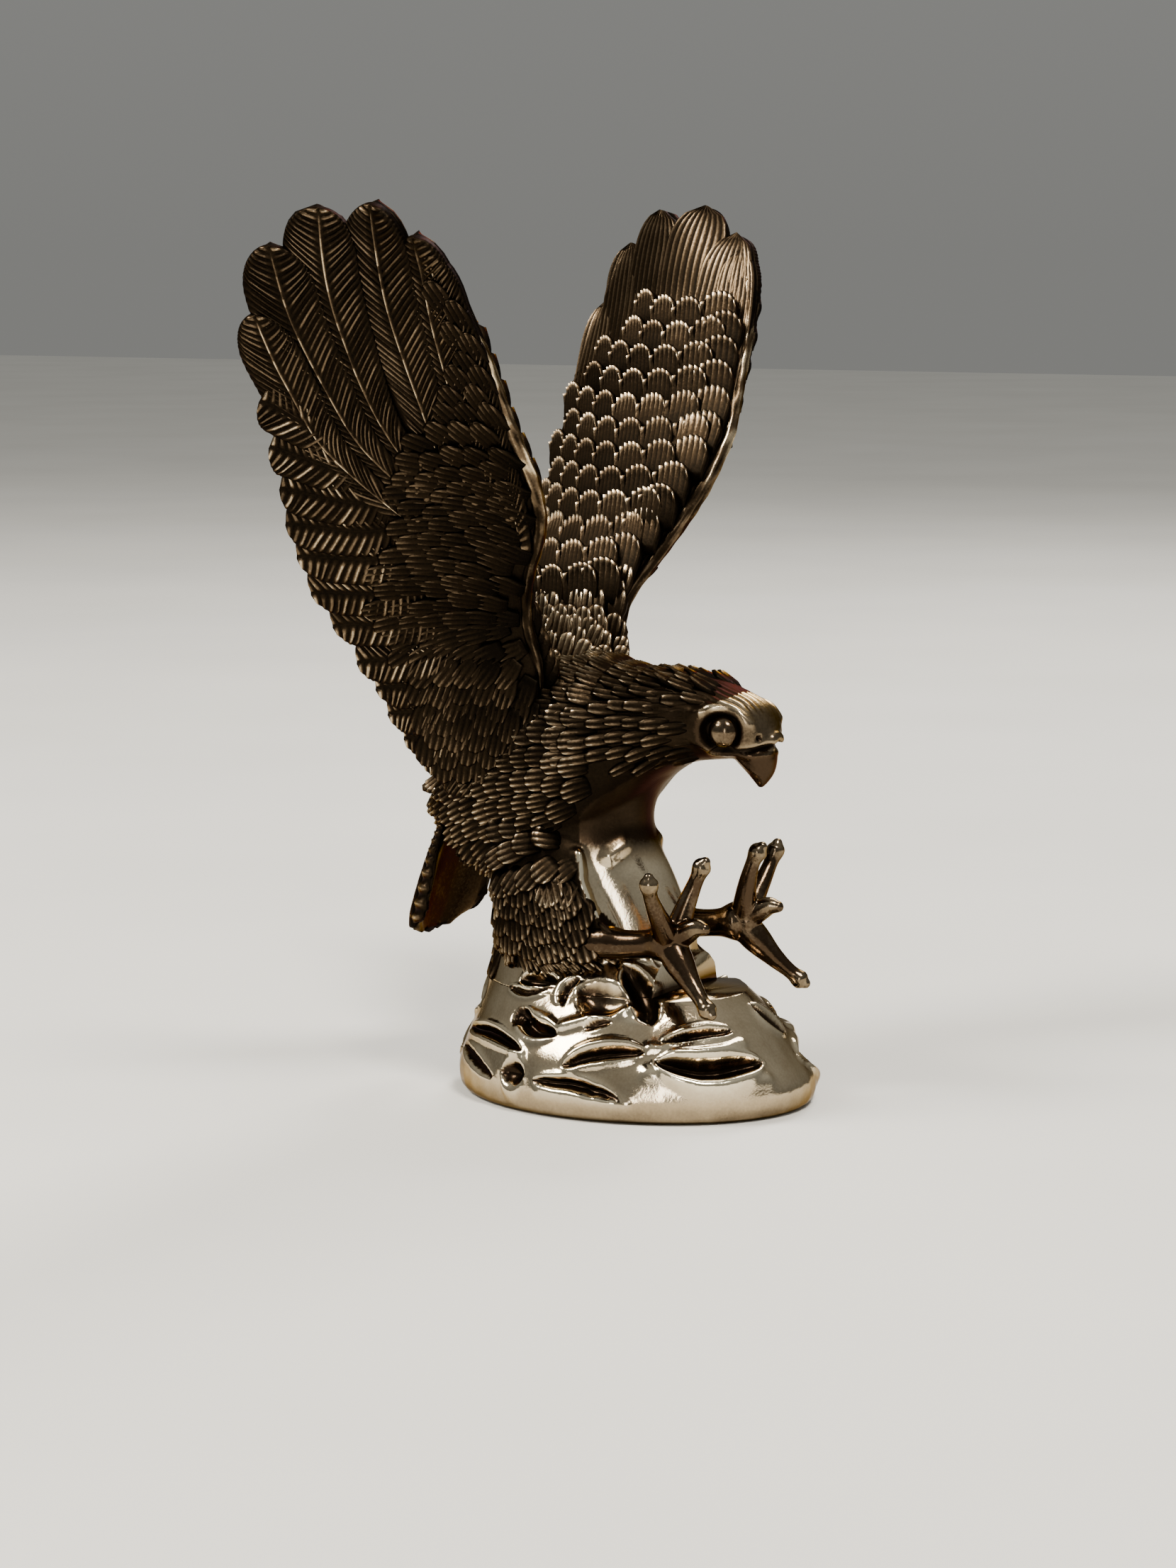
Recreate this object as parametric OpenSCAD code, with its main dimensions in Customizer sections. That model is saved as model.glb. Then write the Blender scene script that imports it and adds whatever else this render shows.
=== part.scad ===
// Striking eagle statuette: a cast bronze bird with raised wings, landing on a rock mound.
// Frame: the bird faces -Y, its left side is +X, +Z is up.
// The origin is the middle of the felt pad's underside.

/* [Base] */
// Length of the rock mound, front to back
base_len = 54; // [52:0.5:57]
// Width of the rock mound
base_wid = 43.2; // [41:0.2:46]
// Height of the joint between the mound and the bird casting
joint_z = 16; // [15.5:0.1:16.5]
// Wall of the hollow mound
base_wall = 2.4; // [1.8:0.1:3]
// Thickness of the felt pad
felt_t = 1.2; // [0.8:0.1:1.8]
// Radius of the scoop in the mound under each leg
scoop_r = 5.6; // [4.8:0.1:5.8]

/* [Wings] */
// Height of the highest feather tip above the table
total_h = 127; // [125:0.5:129]
// Half thickness of a wing at its root
wing_root_t = 2.7; // [2.3:0.1:2.9]
// Half thickness of a wing at its tip
wing_tip_t = 1.1; // [0.8:0.1:1.4]
// How far the middle of a wing bows inwards
wing_camber = 2.6; // [0:0.1:3.5]
// Distance of each flat wing seat from the middle plane
seat_x = 8.5; // [8:0.1:9]

/* [Head] */
// Radius of an eye bead
eye_r = 1.9; // [1.6:0.05:2.1]
// Distance of an eye bead's centre from the middle plane
eye_x = 5.2; // [5:0.05:5.5]

/* [Feet] */
// Distance of a leg's axis from the middle plane
leg_x = 10.3; // [10:0.1:10.6]
// Thickness of the toes, as a share of the usual one
toe_k = 1; // [0.85:0.05:1.1]

/* [Fixings] */
// Radius of the joint pins
pin_r = 1.2; // [1:0.05:1.3]
// Shank radius of the fixing screw
screw_r = 1.5; // [1.3:0.05:1.6]
// Radial clearance round the pins, the pegs and the screw
gap = 0.05; // [0.02:0.01:0.1]

/* [Hidden] */
BRONZE = [0.36, 0.29, 0.18];
POLISHED = [0.76, 0.70, 0.55];
FELT = [0.10, 0.22, 0.14];
STEEL = [0.62, 0.62, 0.64];
far = 60;

// Points round one ring of each kind of skin
oval_n = 28;
limb_n = 10;
chord_n = 9;

// Fixings
screw_y = 4;
dowel_y = -6;
boss_r = 4.2;
boss_low_z = 8;
hollow_top_z = 9.5;
washer_t = 0.6;
washer_r = 3;
screw_head_r = 2.7;
screw_head_t = 1.8;
thread_top_z = 27;
dowel_half = 4;
pin_half = 4;
wing_pin_shift = 1.9;
felt_ledge = 0.6;
felt_inset = 0.8;

// Seats where the castings meet
neck_y = -8;
neck_pin_z = 55;
wing_pin_yz = [17, 54.5];
wing_seat_y = 3;
wing_seat_z = 41;
tail_seat_y = 27;
tail_pin_z = 42;
leg_seat_y = -1;
leg_z = 23.6;
peg_r = 1.15;
peg_len = 5;
leg_room_x = 7.6;
eye_yz = [-17, 54];
eye_socket_r = 2.5;
eye_stem_r = 0.6;
eye_stem_len = 3.4;
scoop_at = [14, -2, 17.5];

// Mound outline by height: [z, front, back, side] as shares of the base's length and width
mound = [
  [0, 0.475, 0.475, 0.470],
  [1.5, 0.495, 0.495, 0.495],
  [4, 0.500, 0.500, 0.500],
  [8, 0.465, 0.474, 0.470],
  [12, 0.405, 0.446, 0.405],
  [joint_z, 0.315, 0.428, 0.330]
];

// Trunk and torso by height: [z, front reach, back reach, half width]
torso = [
  [joint_z, 17, 23, 14],
  [18, 13.5, 23.2, 12.4],
  [20.5, 10.5, 22.6, 10.8],
  [24, 8.5, 22.4, 10],
  [28, 7, 22.2, 10],
  [32, 5, 23, 10.6],
  [36, 2.6, 26.5, 11.6],
  [40, 1.6, 29, 12],
  [44, 3.5, 30, 12],
  [48, 9, 30, 12],
  [52, 14, 27, 11.8],
  [56, 14, 22, 10.8],
  [59.5, 13, 16, 8.6],
  [61.5, 11, 11, 5]
];

// Left thigh by height: [z, front y, back y, inner x, outer x]
thigh = [
  [18.5, 0, 15, 7, 11],
  [22, -2.5, 17.6, 5, 12.6],
  [26, -1.5, 18, 4, 13.4],
  [31, 1.5, 18.4, 4, 13.8],
  [36, 4, 19, 5, 13.4],
  [41, 8, 17, 7, 11.8]
];

// Leading and trailing edge of the left wing, from root to tip
wing_front = [
  [5, 10, 55], [11, 8.5, 61], [12.6, 9, 66.5], [16, 7.5, 73], [19, 4.5, 79], [23, 1.5, 86],
  [28.5, 0.5, 93], [32.8, 1, 100], [36.2, 1.8, 106], [39, 3, 112], [41.2, 5, 118], [41.6, 6, 119]
];
wing_back = [
  [4, 25, 42], [9, 27.5, 46.5], [13, 31.5, 52], [17.5, 33, 60], [24.5, 34.5, 70], [31, 35, 77.5],
  [35.4, 35.2, 86], [39, 34.4, 94.5], [43, 34.2, 102.5], [46.3, 33.5, 109],
  [47.8, 31.8, 114.5], [47.9, 31, 115.5]
];
wing_crown = total_h - 118;
tip_edge_t = 0.3;

// Neck and head by reach: [y, top z, bottom z, half width]
neck = [
  [neck_y, 61.1, 48.9, 8.2],
  [-11, 60.9, 49.3, 7.5],
  [-14, 60.3, 49.3, 7.1],
  [-17, 59, 49.4, 6.6],
  [-20, 57, 49.8, 5.4],
  [-22, 54.8, 50.2, 3.8],
  [-23, 53.4, 50.6, 2.4]
];
beak = [[-18.6, 51, 2.4], [-21, 51.2, 2.2], [-21.2, 48.2, 1.3], [-20.9, 46.3, 0.6]];

// Tail down its length: [y, z, half width, half thickness, sag of the edges]
fan = [
  [tail_seat_y, 42.5, 5.6, 4.2, 0],
  [29, 38.5, 6.2, 3.2, 0.5],
  [31, 34, 6.8, 2.4, 1],
  [33, 29, 7.2, 2, 1.5],
  [34.5, 24.5, 7, 1.8, 1.5],
  [35.4, 21.8, 5.6, 1.5, 1],
  [35.8, 20.3, 3, 1.1, 0.5]
];

// Left foot: the shank and four toes, each a row of [x, y, z, radius]
shank = [[leg_x, leg_seat_y, leg_z, 2.28], [leg_x, -4, 23.6, 1.8], [leg_x, -8, 24, 1.8],
         [leg_x, -11.5, 24.5, 2.4], [leg_x, -12.6, 24.6, 1.68]];
toes = [
  [[10.6, -11.4, 24.4, 1.8], [12.6, -11.8, 26.6, 1.68], [15.4, -12.1, 29.6, 1.32],
   [17.6, -12.4, 32.4, 1.08], [18.5, -12.7, 34.2, 1.32], [18.7, -12.8, 34.9, 0.72]],
  [[10.2, -11.6, 24.4, 1.8], [9.4, -12.5, 27.4, 1.68], [8.6, -13.4, 30.6, 1.32],
   [8.1, -14.6, 33.8, 1.08], [8.2, -15.4, 35.4, 1.32], [8.3, -15.9, 36, 0.72]],
  [[10.3, -11.8, 24.6, 1.8], [10.5, -13.9, 26, 1.68], [10.7, -15.8, 27, 1.32], [10.8, -17.2, 27, 0.84]],
  [[10.4, -11.4, 24.4, 2.28], [11.2, -13.4, 22, 2.16], [12.2, -16, 19.2, 1.44],
   [13.2, -18.4, 17, 1.08], [13.7, -19.5, 16, 1.32], [13.9, -20.1, 15.6, 0.72]]
];

function total(v, i = 0) = i < len(v) ? v[i] + total(v, i + 1) : 0;
function middle(ring) = [for (k = [0:2]) total([for (p = ring) p[k]]) / len(ring)];
function unit(v) = v / norm(v);
function mix(a, b, t) = a + (b - a) * t;
function column(rows, k, scale = 1) = [for (row = rows) [row[0], row[k] * scale]];

// Ring of the mound at a height, drawn in by a wall thickness
function mound_ring(z, inset = 0) =
  let (front = lookup(z, column(mound, 1, base_len)) - inset,
       back = lookup(z, column(mound, 2, base_len)) - inset,
       side = lookup(z, column(mound, 3, base_wid)) - inset)
  oval(0, (back - front) / 2, side, (back + front) / 2, z);

function oval(cx, cy, rx, ry, z) =
  [for (i = [0:oval_n - 1]) let (a = 360 * i / oval_n) [cx + rx * cos(a), cy + ry * sin(a), z]];

function torso_ring(row) =
  oval(0, (row[2] - row[1]) / 2, row[3], (row[2] + row[1]) / 2, row[0]);

function thigh_ring(row) =
  oval((row[3] + row[4]) / 2, (row[1] + row[2]) / 2,
       (row[4] - row[3]) / 2, (row[2] - row[1]) / 2, row[0]);

function neck_ring(row) =
  let (cz = (row[1] + row[2]) / 2, rz = (row[1] - row[2]) / 2)
  [for (i = [0:oval_n - 1]) let (a = 360 * i / oval_n) [row[3] * cos(a), row[0], cz + rz * sin(a)]];

// Direction of travel at point j of a path
function heading(path, j) =
  let (a = path[max(j - 1, 0)], b = path[min(j + 1, len(path) - 1)])
  unit([b[0] - a[0], b[1] - a[1], b[2] - a[2]]);

function limb_ring(path, j) =
  let (t = heading(path, j), u = unit(cross([1, 0, 0], t)), v = cross(t, u), p = path[j])
  [for (i = [0:limb_n - 1]) let (a = 360 * i / limb_n)
    [p[0], p[1], p[2]] + toe_k * p[3] * (u * cos(a) + v * sin(a))];

// Height of the scalloped crown of a wing at share c of its chord
function crown(c) = wing_crown * pow(max(sin(180 * pow(c, 0.8)), 0), 0.6);

// One point of a wing: station j, share c of the chord, side +1 outer or -1 inner
function wing_point(j, c, side) =
  let (last = len(wing_front) - 1,
       s = j / last,
       chord = unit(wing_back[j] - wing_front[j]),
       span = unit(wing_front[min(j + 1, last)] - wing_front[max(j - 1, 0)]),
       out = unit(cross(chord, span)),
       full = j == last ? tip_edge_t : mix(wing_root_t, wing_tip_t, s),
       half = full * pow(max(sin(180 * c), 0), 0.45),
       bow = wing_camber * sin(180 * c) * min(1, 3 * s),
       lift = j == last ? crown(c) : 0)
  mix(wing_front[j], wing_back[j], c) + out * (side * half - bow) + [lift * 0.35, 0, lift];

function wing_ring(j) = concat(
  [wing_point(j, 0, 0)],
  [for (i = [1:chord_n]) wing_point(j, i / (chord_n + 1), 1)],
  [wing_point(j, 1, 0)],
  [for (i = [chord_n:-1:1]) wing_point(j, i / (chord_n + 1), -1)]);

// Ring of the tail: a shallow channel, open downwards
function fan_ring(row) =
  [for (i = [0:oval_n - 1]) let (a = 360 * i / oval_n, c = cos(a))
    [row[2] * c, row[0] + row[3] * sin(a) - row[4] * c * c, row[1] + 0.35 * row[3] * sin(a)]];

// Closed skin through rings with equal numbers of points, wound about their way of travel
module skin(rings) {
  n = len(rings[0]);
  m = len(rings);
  points = concat([for (ring = rings, p = ring) p], [middle(rings[0]), middle(rings[m - 1])]);
  sides = [for (j = [0:m - 2], i = [0:n - 1], half = [0:1])
    let (a = j * n + i, b = j * n + (i + 1) % n)
      half == 0 ? [a, a + n, b + n] : [a, b + n, b]];
  low = [for (i = [0:n - 1]) [m * n, i, (i + 1) % n]];
  high = [for (i = [0:n - 1]) [m * n + 1, (m - 1) * n + (i + 1) % n, (m - 1) * n + i]];
  polyhedron(points, concat(sides, low, high), convexity = 8);
}

module limb(path) {
  skin([for (j = [0:len(path) - 1]) limb_ring(path, j)]);
}

module both_sides() {
  children();
  mirror([1, 0, 0]) children();
}

// Pin along an axis: turn is the rotation that lays +Z along it
module pin_at(place, turn, half, r) {
  translate(place) rotate(turn) translate([0, 0, -half]) cylinder(h = 2 * half, r = r, $fn = 32);
}

module flat_oval(front, side, t) {
  linear_extrude(t) polygon([for (p = oval(0, 0, side, front, 0)) [p[0], p[1]]]);
}

module base_shell() {
  color(POLISHED) difference() {
    skin([for (row = mound) mound_ring(row[0])]);
    difference() {
      skin([for (z = [felt_t - 0.1, 4, hollow_top_z]) mound_ring(z, base_wall + felt_ledge)]);
      translate([0, screw_y, boss_low_z]) cylinder(h = far, r = boss_r, $fn = 48);
    }
    translate([0, 0, -1])
      flat_oval(0.475 * base_len - felt_inset, 0.47 * base_wid - felt_inset, felt_t + 1);
    translate([0, screw_y, 0]) cylinder(h = far, r = screw_r + gap, $fn = 32);
    pin_at([0, dowel_y, joint_z], [0, 0, 0], dowel_half + gap, pin_r + gap);
    both_sides() translate(scoop_at) sphere(r = scoop_r, $fn = 48);
  }
}

module felt_pad() {
  color(FELT) flat_oval(0.475 * base_len - felt_inset - gap, 0.47 * base_wid - felt_inset - gap, felt_t);
}

module base_screw() {
  top_z = boss_low_z - washer_t;
  color(STEEL) translate([0, screw_y, 0]) difference() {
    union() {
      translate([0, 0, top_z - screw_head_t]) cylinder(h = screw_head_t, r = screw_head_r, $fn = 48);
      translate([0, 0, top_z - 0.5]) cylinder(h = thread_top_z - 1 - top_z, r = screw_r, $fn = 32);
    }
    translate([-screw_head_r, -0.4, top_z - screw_head_t - 1]) cube([2 * screw_head_r, 0.8, 1.8]);
  }
}

module base_washer() {
  color(STEEL) translate([0, screw_y, boss_low_z - washer_t]) difference() {
    cylinder(h = washer_t, r = washer_r, $fn = 48);
    translate([0, 0, -1]) cylinder(h = washer_t + 2, r = screw_r + 2 * gap, $fn = 32);
  }
}

module base_dowel() {
  color(STEEL) pin_at([0, dowel_y, joint_z], [0, 0, 0], dowel_half, pin_r);
}

module body() {
  color(BRONZE) difference() {
    union() {
      skin([for (row = torso) torso_ring(row)]);
      both_sides() skin([for (row = thigh) thigh_ring(row)]);
    }
    translate([-far / 2, neck_y - far, 40]) cube([far, far, far]);
    translate([-far / 2, tail_seat_y, 30]) cube([far, far, far]);
    both_sides() translate([seat_x, wing_seat_y, wing_seat_z]) cube([far, far, far]);
    both_sides() translate([leg_room_x, leg_seat_y - far, joint_z - 1]) cube([far, far, 25]);
    translate([0, screw_y, 0]) cylinder(h = thread_top_z, r = screw_r + gap, $fn = 32);
    pin_at([0, dowel_y, joint_z], [0, 0, 0], dowel_half + gap, pin_r + gap);
    pin_at([0, neck_y, neck_pin_z], [90, 0, 0], pin_half + gap, pin_r + gap);
    pin_at([0, tail_seat_y, tail_pin_z], [90, 0, 0], pin_half + gap, pin_r + gap);
    both_sides() wing_pin_hole();
    both_sides() pin_at([leg_x, leg_seat_y, leg_z], [90, 0, 0], peg_len + gap, peg_r + gap);
  }
}

module wing_pin_hole() {
  pin_at([seat_x - wing_pin_shift, wing_pin_yz[0], wing_pin_yz[1]], [0, 90, 0],
         pin_half + gap, pin_r + gap);
}

module neck_pin() {
  color(STEEL) pin_at([0, neck_y, neck_pin_z], [90, 0, 0], pin_half, pin_r);
}

module head() {
  color(BRONZE) difference() {
    union() {
      skin([for (row = neck) neck_ring(row)]);
      hull() for (b = beak) translate([0, b[0], b[1]]) sphere(r = b[2], $fn = 20);
    }
    pin_at([0, neck_y, neck_pin_z], [90, 0, 0], pin_half + gap, pin_r + gap);
    both_sides() {
      translate([eye_x, eye_yz[0], eye_yz[1]]) sphere(r = eye_socket_r, $fn = 40);
      translate([eye_x - eye_stem_len, eye_yz[0], eye_yz[1]])
        rotate([0, 90, 0]) cylinder(h = eye_stem_len, r = eye_stem_r + gap, $fn = 24);
    }
  }
}

module eye_bead() {
  translate([eye_x, eye_yz[0], eye_yz[1]]) sphere(r = eye_r, $fn = 40);
  translate([eye_x - eye_stem_len + gap, eye_yz[0], eye_yz[1]])
    rotate([0, 90, 0]) cylinder(h = eye_stem_len, r = eye_stem_r, $fn = 24);
}

module left_eye() {
  color(BRONZE) eye_bead();
}

module right_eye() {
  color(BRONZE) mirror([1, 0, 0]) eye_bead();
}

module wing() {
  difference() {
    skin([for (j = [0:len(wing_front) - 1]) wing_ring(j)]);
    translate([seat_x - far, -far / 2, 0]) cube([far, 2 * far, 2 * far]);
    wing_pin_hole();
  }
}

module left_wing() {
  color(BRONZE) wing();
}

module right_wing() {
  color(BRONZE) mirror([1, 0, 0]) wing();
}

module wing_pin() {
  pin_at([seat_x - wing_pin_shift, wing_pin_yz[0], wing_pin_yz[1]], [0, 90, 0], pin_half, pin_r);
}

module left_wing_pin() {
  color(STEEL) wing_pin();
}

module right_wing_pin() {
  color(STEEL) mirror([1, 0, 0]) wing_pin();
}

module tail() {
  color(BRONZE) difference() {
    skin([for (row = fan) fan_ring(row)]);
    translate([-far / 2, tail_seat_y - far, 0]) cube([far, far, far]);
    pin_at([0, tail_seat_y, tail_pin_z], [90, 0, 0], pin_half + gap, pin_r + gap);
  }
}

module tail_pin() {
  color(STEEL) pin_at([0, tail_seat_y, tail_pin_z], [90, 0, 0], pin_half, pin_r);
}

module foot() {
  limb(shank);
  for (toe = toes) limb(toe);
  translate([leg_x, leg_seat_y - 0.5, leg_z]) rotate([-90, 0, 0]) cylinder(h = peg_len, r = peg_r, $fn = 32);
}

module left_foot() {
  color(BRONZE) foot();
}

module right_foot() {
  color(BRONZE) mirror([1, 0, 0]) foot();
}

base_shell();
felt_pad();
base_screw();
base_washer();
base_dowel();
body();
neck_pin();
head();
right_eye();
left_eye();
right_wing();
left_wing();
right_wing_pin();
left_wing_pin();
tail();
tail_pin();
right_foot();
left_foot();
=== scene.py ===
"""Striking eagle statuette: the castings' looks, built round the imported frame.

Lengths are in millimetres until a mesh is made. The bird faces -Y, its left side is +X.
"""
import math

import bpy
import bmesh
import numpy as np
from mathutils import Matrix, Vector
from mathutils.bvhtree import BVHTree


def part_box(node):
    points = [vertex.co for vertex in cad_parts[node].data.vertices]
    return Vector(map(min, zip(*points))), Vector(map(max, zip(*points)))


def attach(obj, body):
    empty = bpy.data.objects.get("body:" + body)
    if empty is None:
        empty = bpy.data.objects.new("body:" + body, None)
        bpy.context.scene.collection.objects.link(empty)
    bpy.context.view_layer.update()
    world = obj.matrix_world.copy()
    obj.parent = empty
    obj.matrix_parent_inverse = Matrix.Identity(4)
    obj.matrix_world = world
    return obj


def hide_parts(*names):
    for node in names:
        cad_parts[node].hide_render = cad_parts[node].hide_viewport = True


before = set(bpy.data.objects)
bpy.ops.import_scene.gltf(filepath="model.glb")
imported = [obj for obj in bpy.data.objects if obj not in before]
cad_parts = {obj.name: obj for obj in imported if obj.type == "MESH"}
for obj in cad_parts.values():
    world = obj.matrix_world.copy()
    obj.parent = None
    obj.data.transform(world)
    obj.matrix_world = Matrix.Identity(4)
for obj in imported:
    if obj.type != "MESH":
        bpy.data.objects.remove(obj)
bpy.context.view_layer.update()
SCENE = bpy.context.scene
MM = 0.001
BODY = "root"
RNG = np.random.default_rng(12)

# Points are rows of an array; "shade" goes from recess to ridge, as patina and rubbed wear, and in places
# carries painted shade, shadow, reflection and highlight; "polish" goes from antique to bright,
# and "tone" differs from feather to feather. Every piece carries all three for its finish.

# ---------------------------------------------------------------- camera, lights and floor

CAMERA_AT = (-0.4764, -0.2781, 0.1207)
CAMERA_TURN = -59.0
CAMERA_DIP = 7.83
CAMERA_LENS = 89.5


def added(name, data):
    """A new object in the scene, at the origin."""
    thing = bpy.data.objects.new(name, data)
    SCENE.collection.objects.link(thing)
    return thing


def make_camera():
    lens = bpy.data.cameras.new("camera")
    lens.lens = CAMERA_LENS
    lens.sensor_width = 36.0
    lens.clip_start = 0.01
    camera = added("camera", lens)
    camera.location = CAMERA_AT
    camera.rotation_euler = (math.radians(90.0 - CAMERA_DIP), 0.0, math.radians(CAMERA_TURN))
    SCENE.camera = camera


def soft_light(name, at, aim, size, power, colour):
    lamp = bpy.data.lights.new(name, "AREA")
    lamp.shape = "RECTANGLE"
    lamp.size = size[0]
    lamp.size_y = size[1]
    lamp.energy = power
    lamp.color = colour
    holder = added(name, lamp)
    holder.location = at
    holder.rotation_euler = (Vector(aim) - Vector(at)).to_track_quat("-Z", "Y").to_euler()


def make_lights():
    middle = (0.0, 0.0, 0.06)
    soft_light("key", (-0.25, -0.45, 0.95), middle, (0.24, 0.24), 15.0, (1.0, 0.94, 0.84))
    soft_light("back", (-0.48, 0.52, 0.80), middle, (0.34, 0.34), 15.0, (1.0, 0.95, 0.86))
    soft_light("front", (-0.95, -0.40, 0.22), middle, (0.18, 0.40), 2.5, (1.0, 0.96, 0.9))
    soft_light("rim", (0.75, 0.10, 0.75), middle, (0.30, 0.5), 9.0, (1.0, 0.96, 0.90))
    world = bpy.data.worlds.new("studio")
    world.use_nodes = True
    tree = world.node_tree
    spot = tree.nodes.new("ShaderNodeTexCoord")
    apart = tree.nodes.new("ShaderNodeSeparateXYZ")
    ramp = tree.nodes.new("ShaderNodeValToRGB")
    low, high = ramp.color_ramp.elements
    low.color = (0.30, 0.30, 0.285, 1.0)
    high.position = 0.8
    high.color = (0.62, 0.62, 0.59, 1.0)
    tree.links.new(spot.outputs["Generated"], apart.inputs["Vector"])
    tree.links.new(apart.outputs["Z"], ramp.inputs["Fac"])
    tree.links.new(ramp.outputs["Color"], tree.nodes["Background"].inputs["Color"])
    tree.nodes["Background"].inputs["Strength"].default_value = 0.7
    SCENE.world = world


# ---------------------------------------------------------------- finishes


class Wire:
    """A value in a material, with the usual arithmetic."""

    def __init__(self, finish, socket):
        self.finish = finish
        self.socket = socket

    def maths(self, operation, other=None, swap=False):
        values = [self] if other is None else [self, other]
        if swap:
            values.reverse()
        return self.finish.node("ShaderNodeMath", {"operation": operation}, dict(enumerate(values)))

    def __add__(self, other):
        return self.maths("ADD", other)

    __radd__ = __add__

    def __sub__(self, other):
        return self.maths("SUBTRACT", other)

    def __rsub__(self, other):
        return self.maths("SUBTRACT", other, True)

    def __mul__(self, other):
        return self.maths("MULTIPLY", other)

    __rmul__ = __mul__


class Finish:
    """A material in the making: any node by its type, settings and socket values."""

    def __init__(self, name):
        self.material = bpy.data.materials.new(name)
        self.material.use_nodes = True
        self.tree = self.material.node_tree
        self.shader = self.tree.nodes["Principled BSDF"]

    def node(self, kind, settings, values, out=0):
        made = self.tree.nodes.new(kind)
        for key, value in settings.items():
            if key == "stops":
                self.set_stops(made.color_ramp, value)
            else:
                setattr(made, key, value)
        for key, value in values.items():
            self.feed(self.live(made.inputs, key), value)
        return Wire(self, self.live(made.outputs, out))

    def live(self, sockets, key):
        """The socket in use: a Mix node keeps several of one name."""
        if isinstance(key, int):
            return sockets[key]
        return next(item for item in sockets if item.name == key and item.enabled)

    def set_stops(self, ramp, stops):
        while len(ramp.elements) < len(stops):
            ramp.elements.new(0.5)
        for element, (place, colour) in zip(ramp.elements, stops):
            element.position = place
            element.color = (*colour, 1.0)

    def feed(self, socket, value):
        if isinstance(value, Wire):
            self.tree.links.new(value.socket, socket)
        else:
            socket.default_value = value

    def set(self, name, value):
        """Gives the shader's own socket a wire or a constant."""
        self.feed(self.shader.inputs[name], value)

    def value_of(self, attribute):
        return self.node("ShaderNodeAttribute", {"attribute_name": attribute}, {}, "Fac")

    def noise(self, cells_per_metre, detail=4.0):
        spot = self.node("ShaderNodeTexCoord", {}, {}, "Object")
        return self.node("ShaderNodeTexNoise", {}, {
            "Vector": spot, "Scale": cells_per_metre, "Detail": detail, "Roughness": 0.55})

    def ramp(self, level, stops):
        return self.node("ShaderNodeValToRGB", {"stops": stops}, {"Fac": level})

    def bump(self, height, strength, distance):
        return self.node("ShaderNodeBump", {}, {
            "Height": height, "Strength": strength, "Distance": distance}, "Normal")


def grey(value):
    return (value, value, value)


# Bronze from recess to rubbed ridge, dark with age and polished
ANTIQUE = [(0.0, (0.003, 0.002, 0.001)), (0.34, (0.017, 0.011, 0.006)),
           (0.64, (0.130, 0.090, 0.053)), (1.0, (0.82, 0.66, 0.43))]
POLISHED = [(0.0, (0.008, 0.005, 0.003)), (0.33, (0.052, 0.033, 0.019)),
            (0.60, (0.42, 0.33, 0.21)), (1.0, (0.97, 0.87, 0.65))]


def bronze(name):
    """Cast bronze, from recess to rubbed ridge by the shade field (which also carries painted shade,
    reflection and highlight), from antique to bright by polish.
    """
    finish = Finish(name)
    grain = finish.noise(2600.0)
    blotch = finish.noise(170.0, 3.0)
    polish = finish.value_of("polish")
    level = (finish.value_of("shade") + finish.value_of("tone")
             + (grain - 0.5) * (0.30 - polish * 0.18) + (blotch - 0.5) * 0.22)
    colour = finish.node("ShaderNodeMix", {"data_type": "RGBA"}, {
        "Factor": polish, "A": finish.ramp(level, ANTIQUE), "B": finish.ramp(level, POLISHED)},
        "Result")
    finish.set("Base Color", colour)
    finish.set("Metallic", finish.ramp(level, [(0.0, grey(0.86)), (0.4, grey(1.0))]))
    finish.set("Specular IOR Level", 0.3)
    finish.set("Specular Tint", (0.48, 0.40, 0.31, 1.0))
    wear_and_sheen = finish.ramp(level, [(0.1, grey(0.48)), (0.9, grey(0.23))])
    finish.set("Roughness", wear_and_sheen * (1 - polish * 0.62) + (blotch - 0.5) * 0.08)
    finish.set("Normal", finish.bump(grain, 0.25, 0.0001))
    return finish.material


def make_finishes():
    slots = ("antique_bronze", "polished_bronze", "dark_bronze", "bead_bronze")
    finishes = {slot: bronze(slot) for slot in slots}
    finishes["steel"] = make_steel()
    finishes["felt"] = make_felt()
    return finishes


def make_steel():
    finish = Finish("turned_steel")
    turning = finish.noise(1800.0)
    finish.set("Base Color", finish.ramp(turning, [(0.2, grey(0.42)), (0.8, grey(0.62))]))
    finish.set("Metallic", 1.0)
    finish.set("Roughness", turning * 0.2 + 0.22)
    return finish.material


def make_felt():
    finish = Finish("green_felt")
    pile = finish.noise(3200.0, 6.0)
    cloud = finish.noise(260.0)
    mixed = pile * 0.7 + cloud * 0.3
    finish.set("Base Color", finish.ramp(mixed, [(0.25, (0.012, 0.045, 0.026)),
                                                 (0.8, (0.045, 0.135, 0.080))]))
    finish.set("Roughness", 0.95)
    finish.set("Normal", finish.bump(pile, 0.8, 0.0003))
    return finish.material


# ---------------------------------------------------------------- curves and shells


def through(rows):
    """A smooth curve through rows of [place, value, value, ...]."""
    table = np.array(rows, float)
    x = table[:, 0]
    y = table[:, 1:]
    rise = np.diff(y, axis=0) / np.diff(x)[:, None]
    slope = np.vstack([rise[:1], (rise[:-1] + rise[1:]) / 2, rise[-1:]])

    def at(place):
        place = np.clip(np.asarray(place, float), x[0], x[-1])
        i = np.clip(np.searchsorted(x, place, side="right") - 1, 0, len(x) - 2)
        span = (x[i + 1] - x[i])[..., None]
        s = (place[..., None] - x[i][..., None]) / span
        return ((2 * s**3 - 3 * s**2 + 1) * y[i] + (s**3 - 2 * s**2 + s) * span * slope[i]
                + (3 * s**2 - 2 * s**3) * y[i + 1] + (s**3 - s**2) * span * slope[i + 1])

    return at


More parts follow.
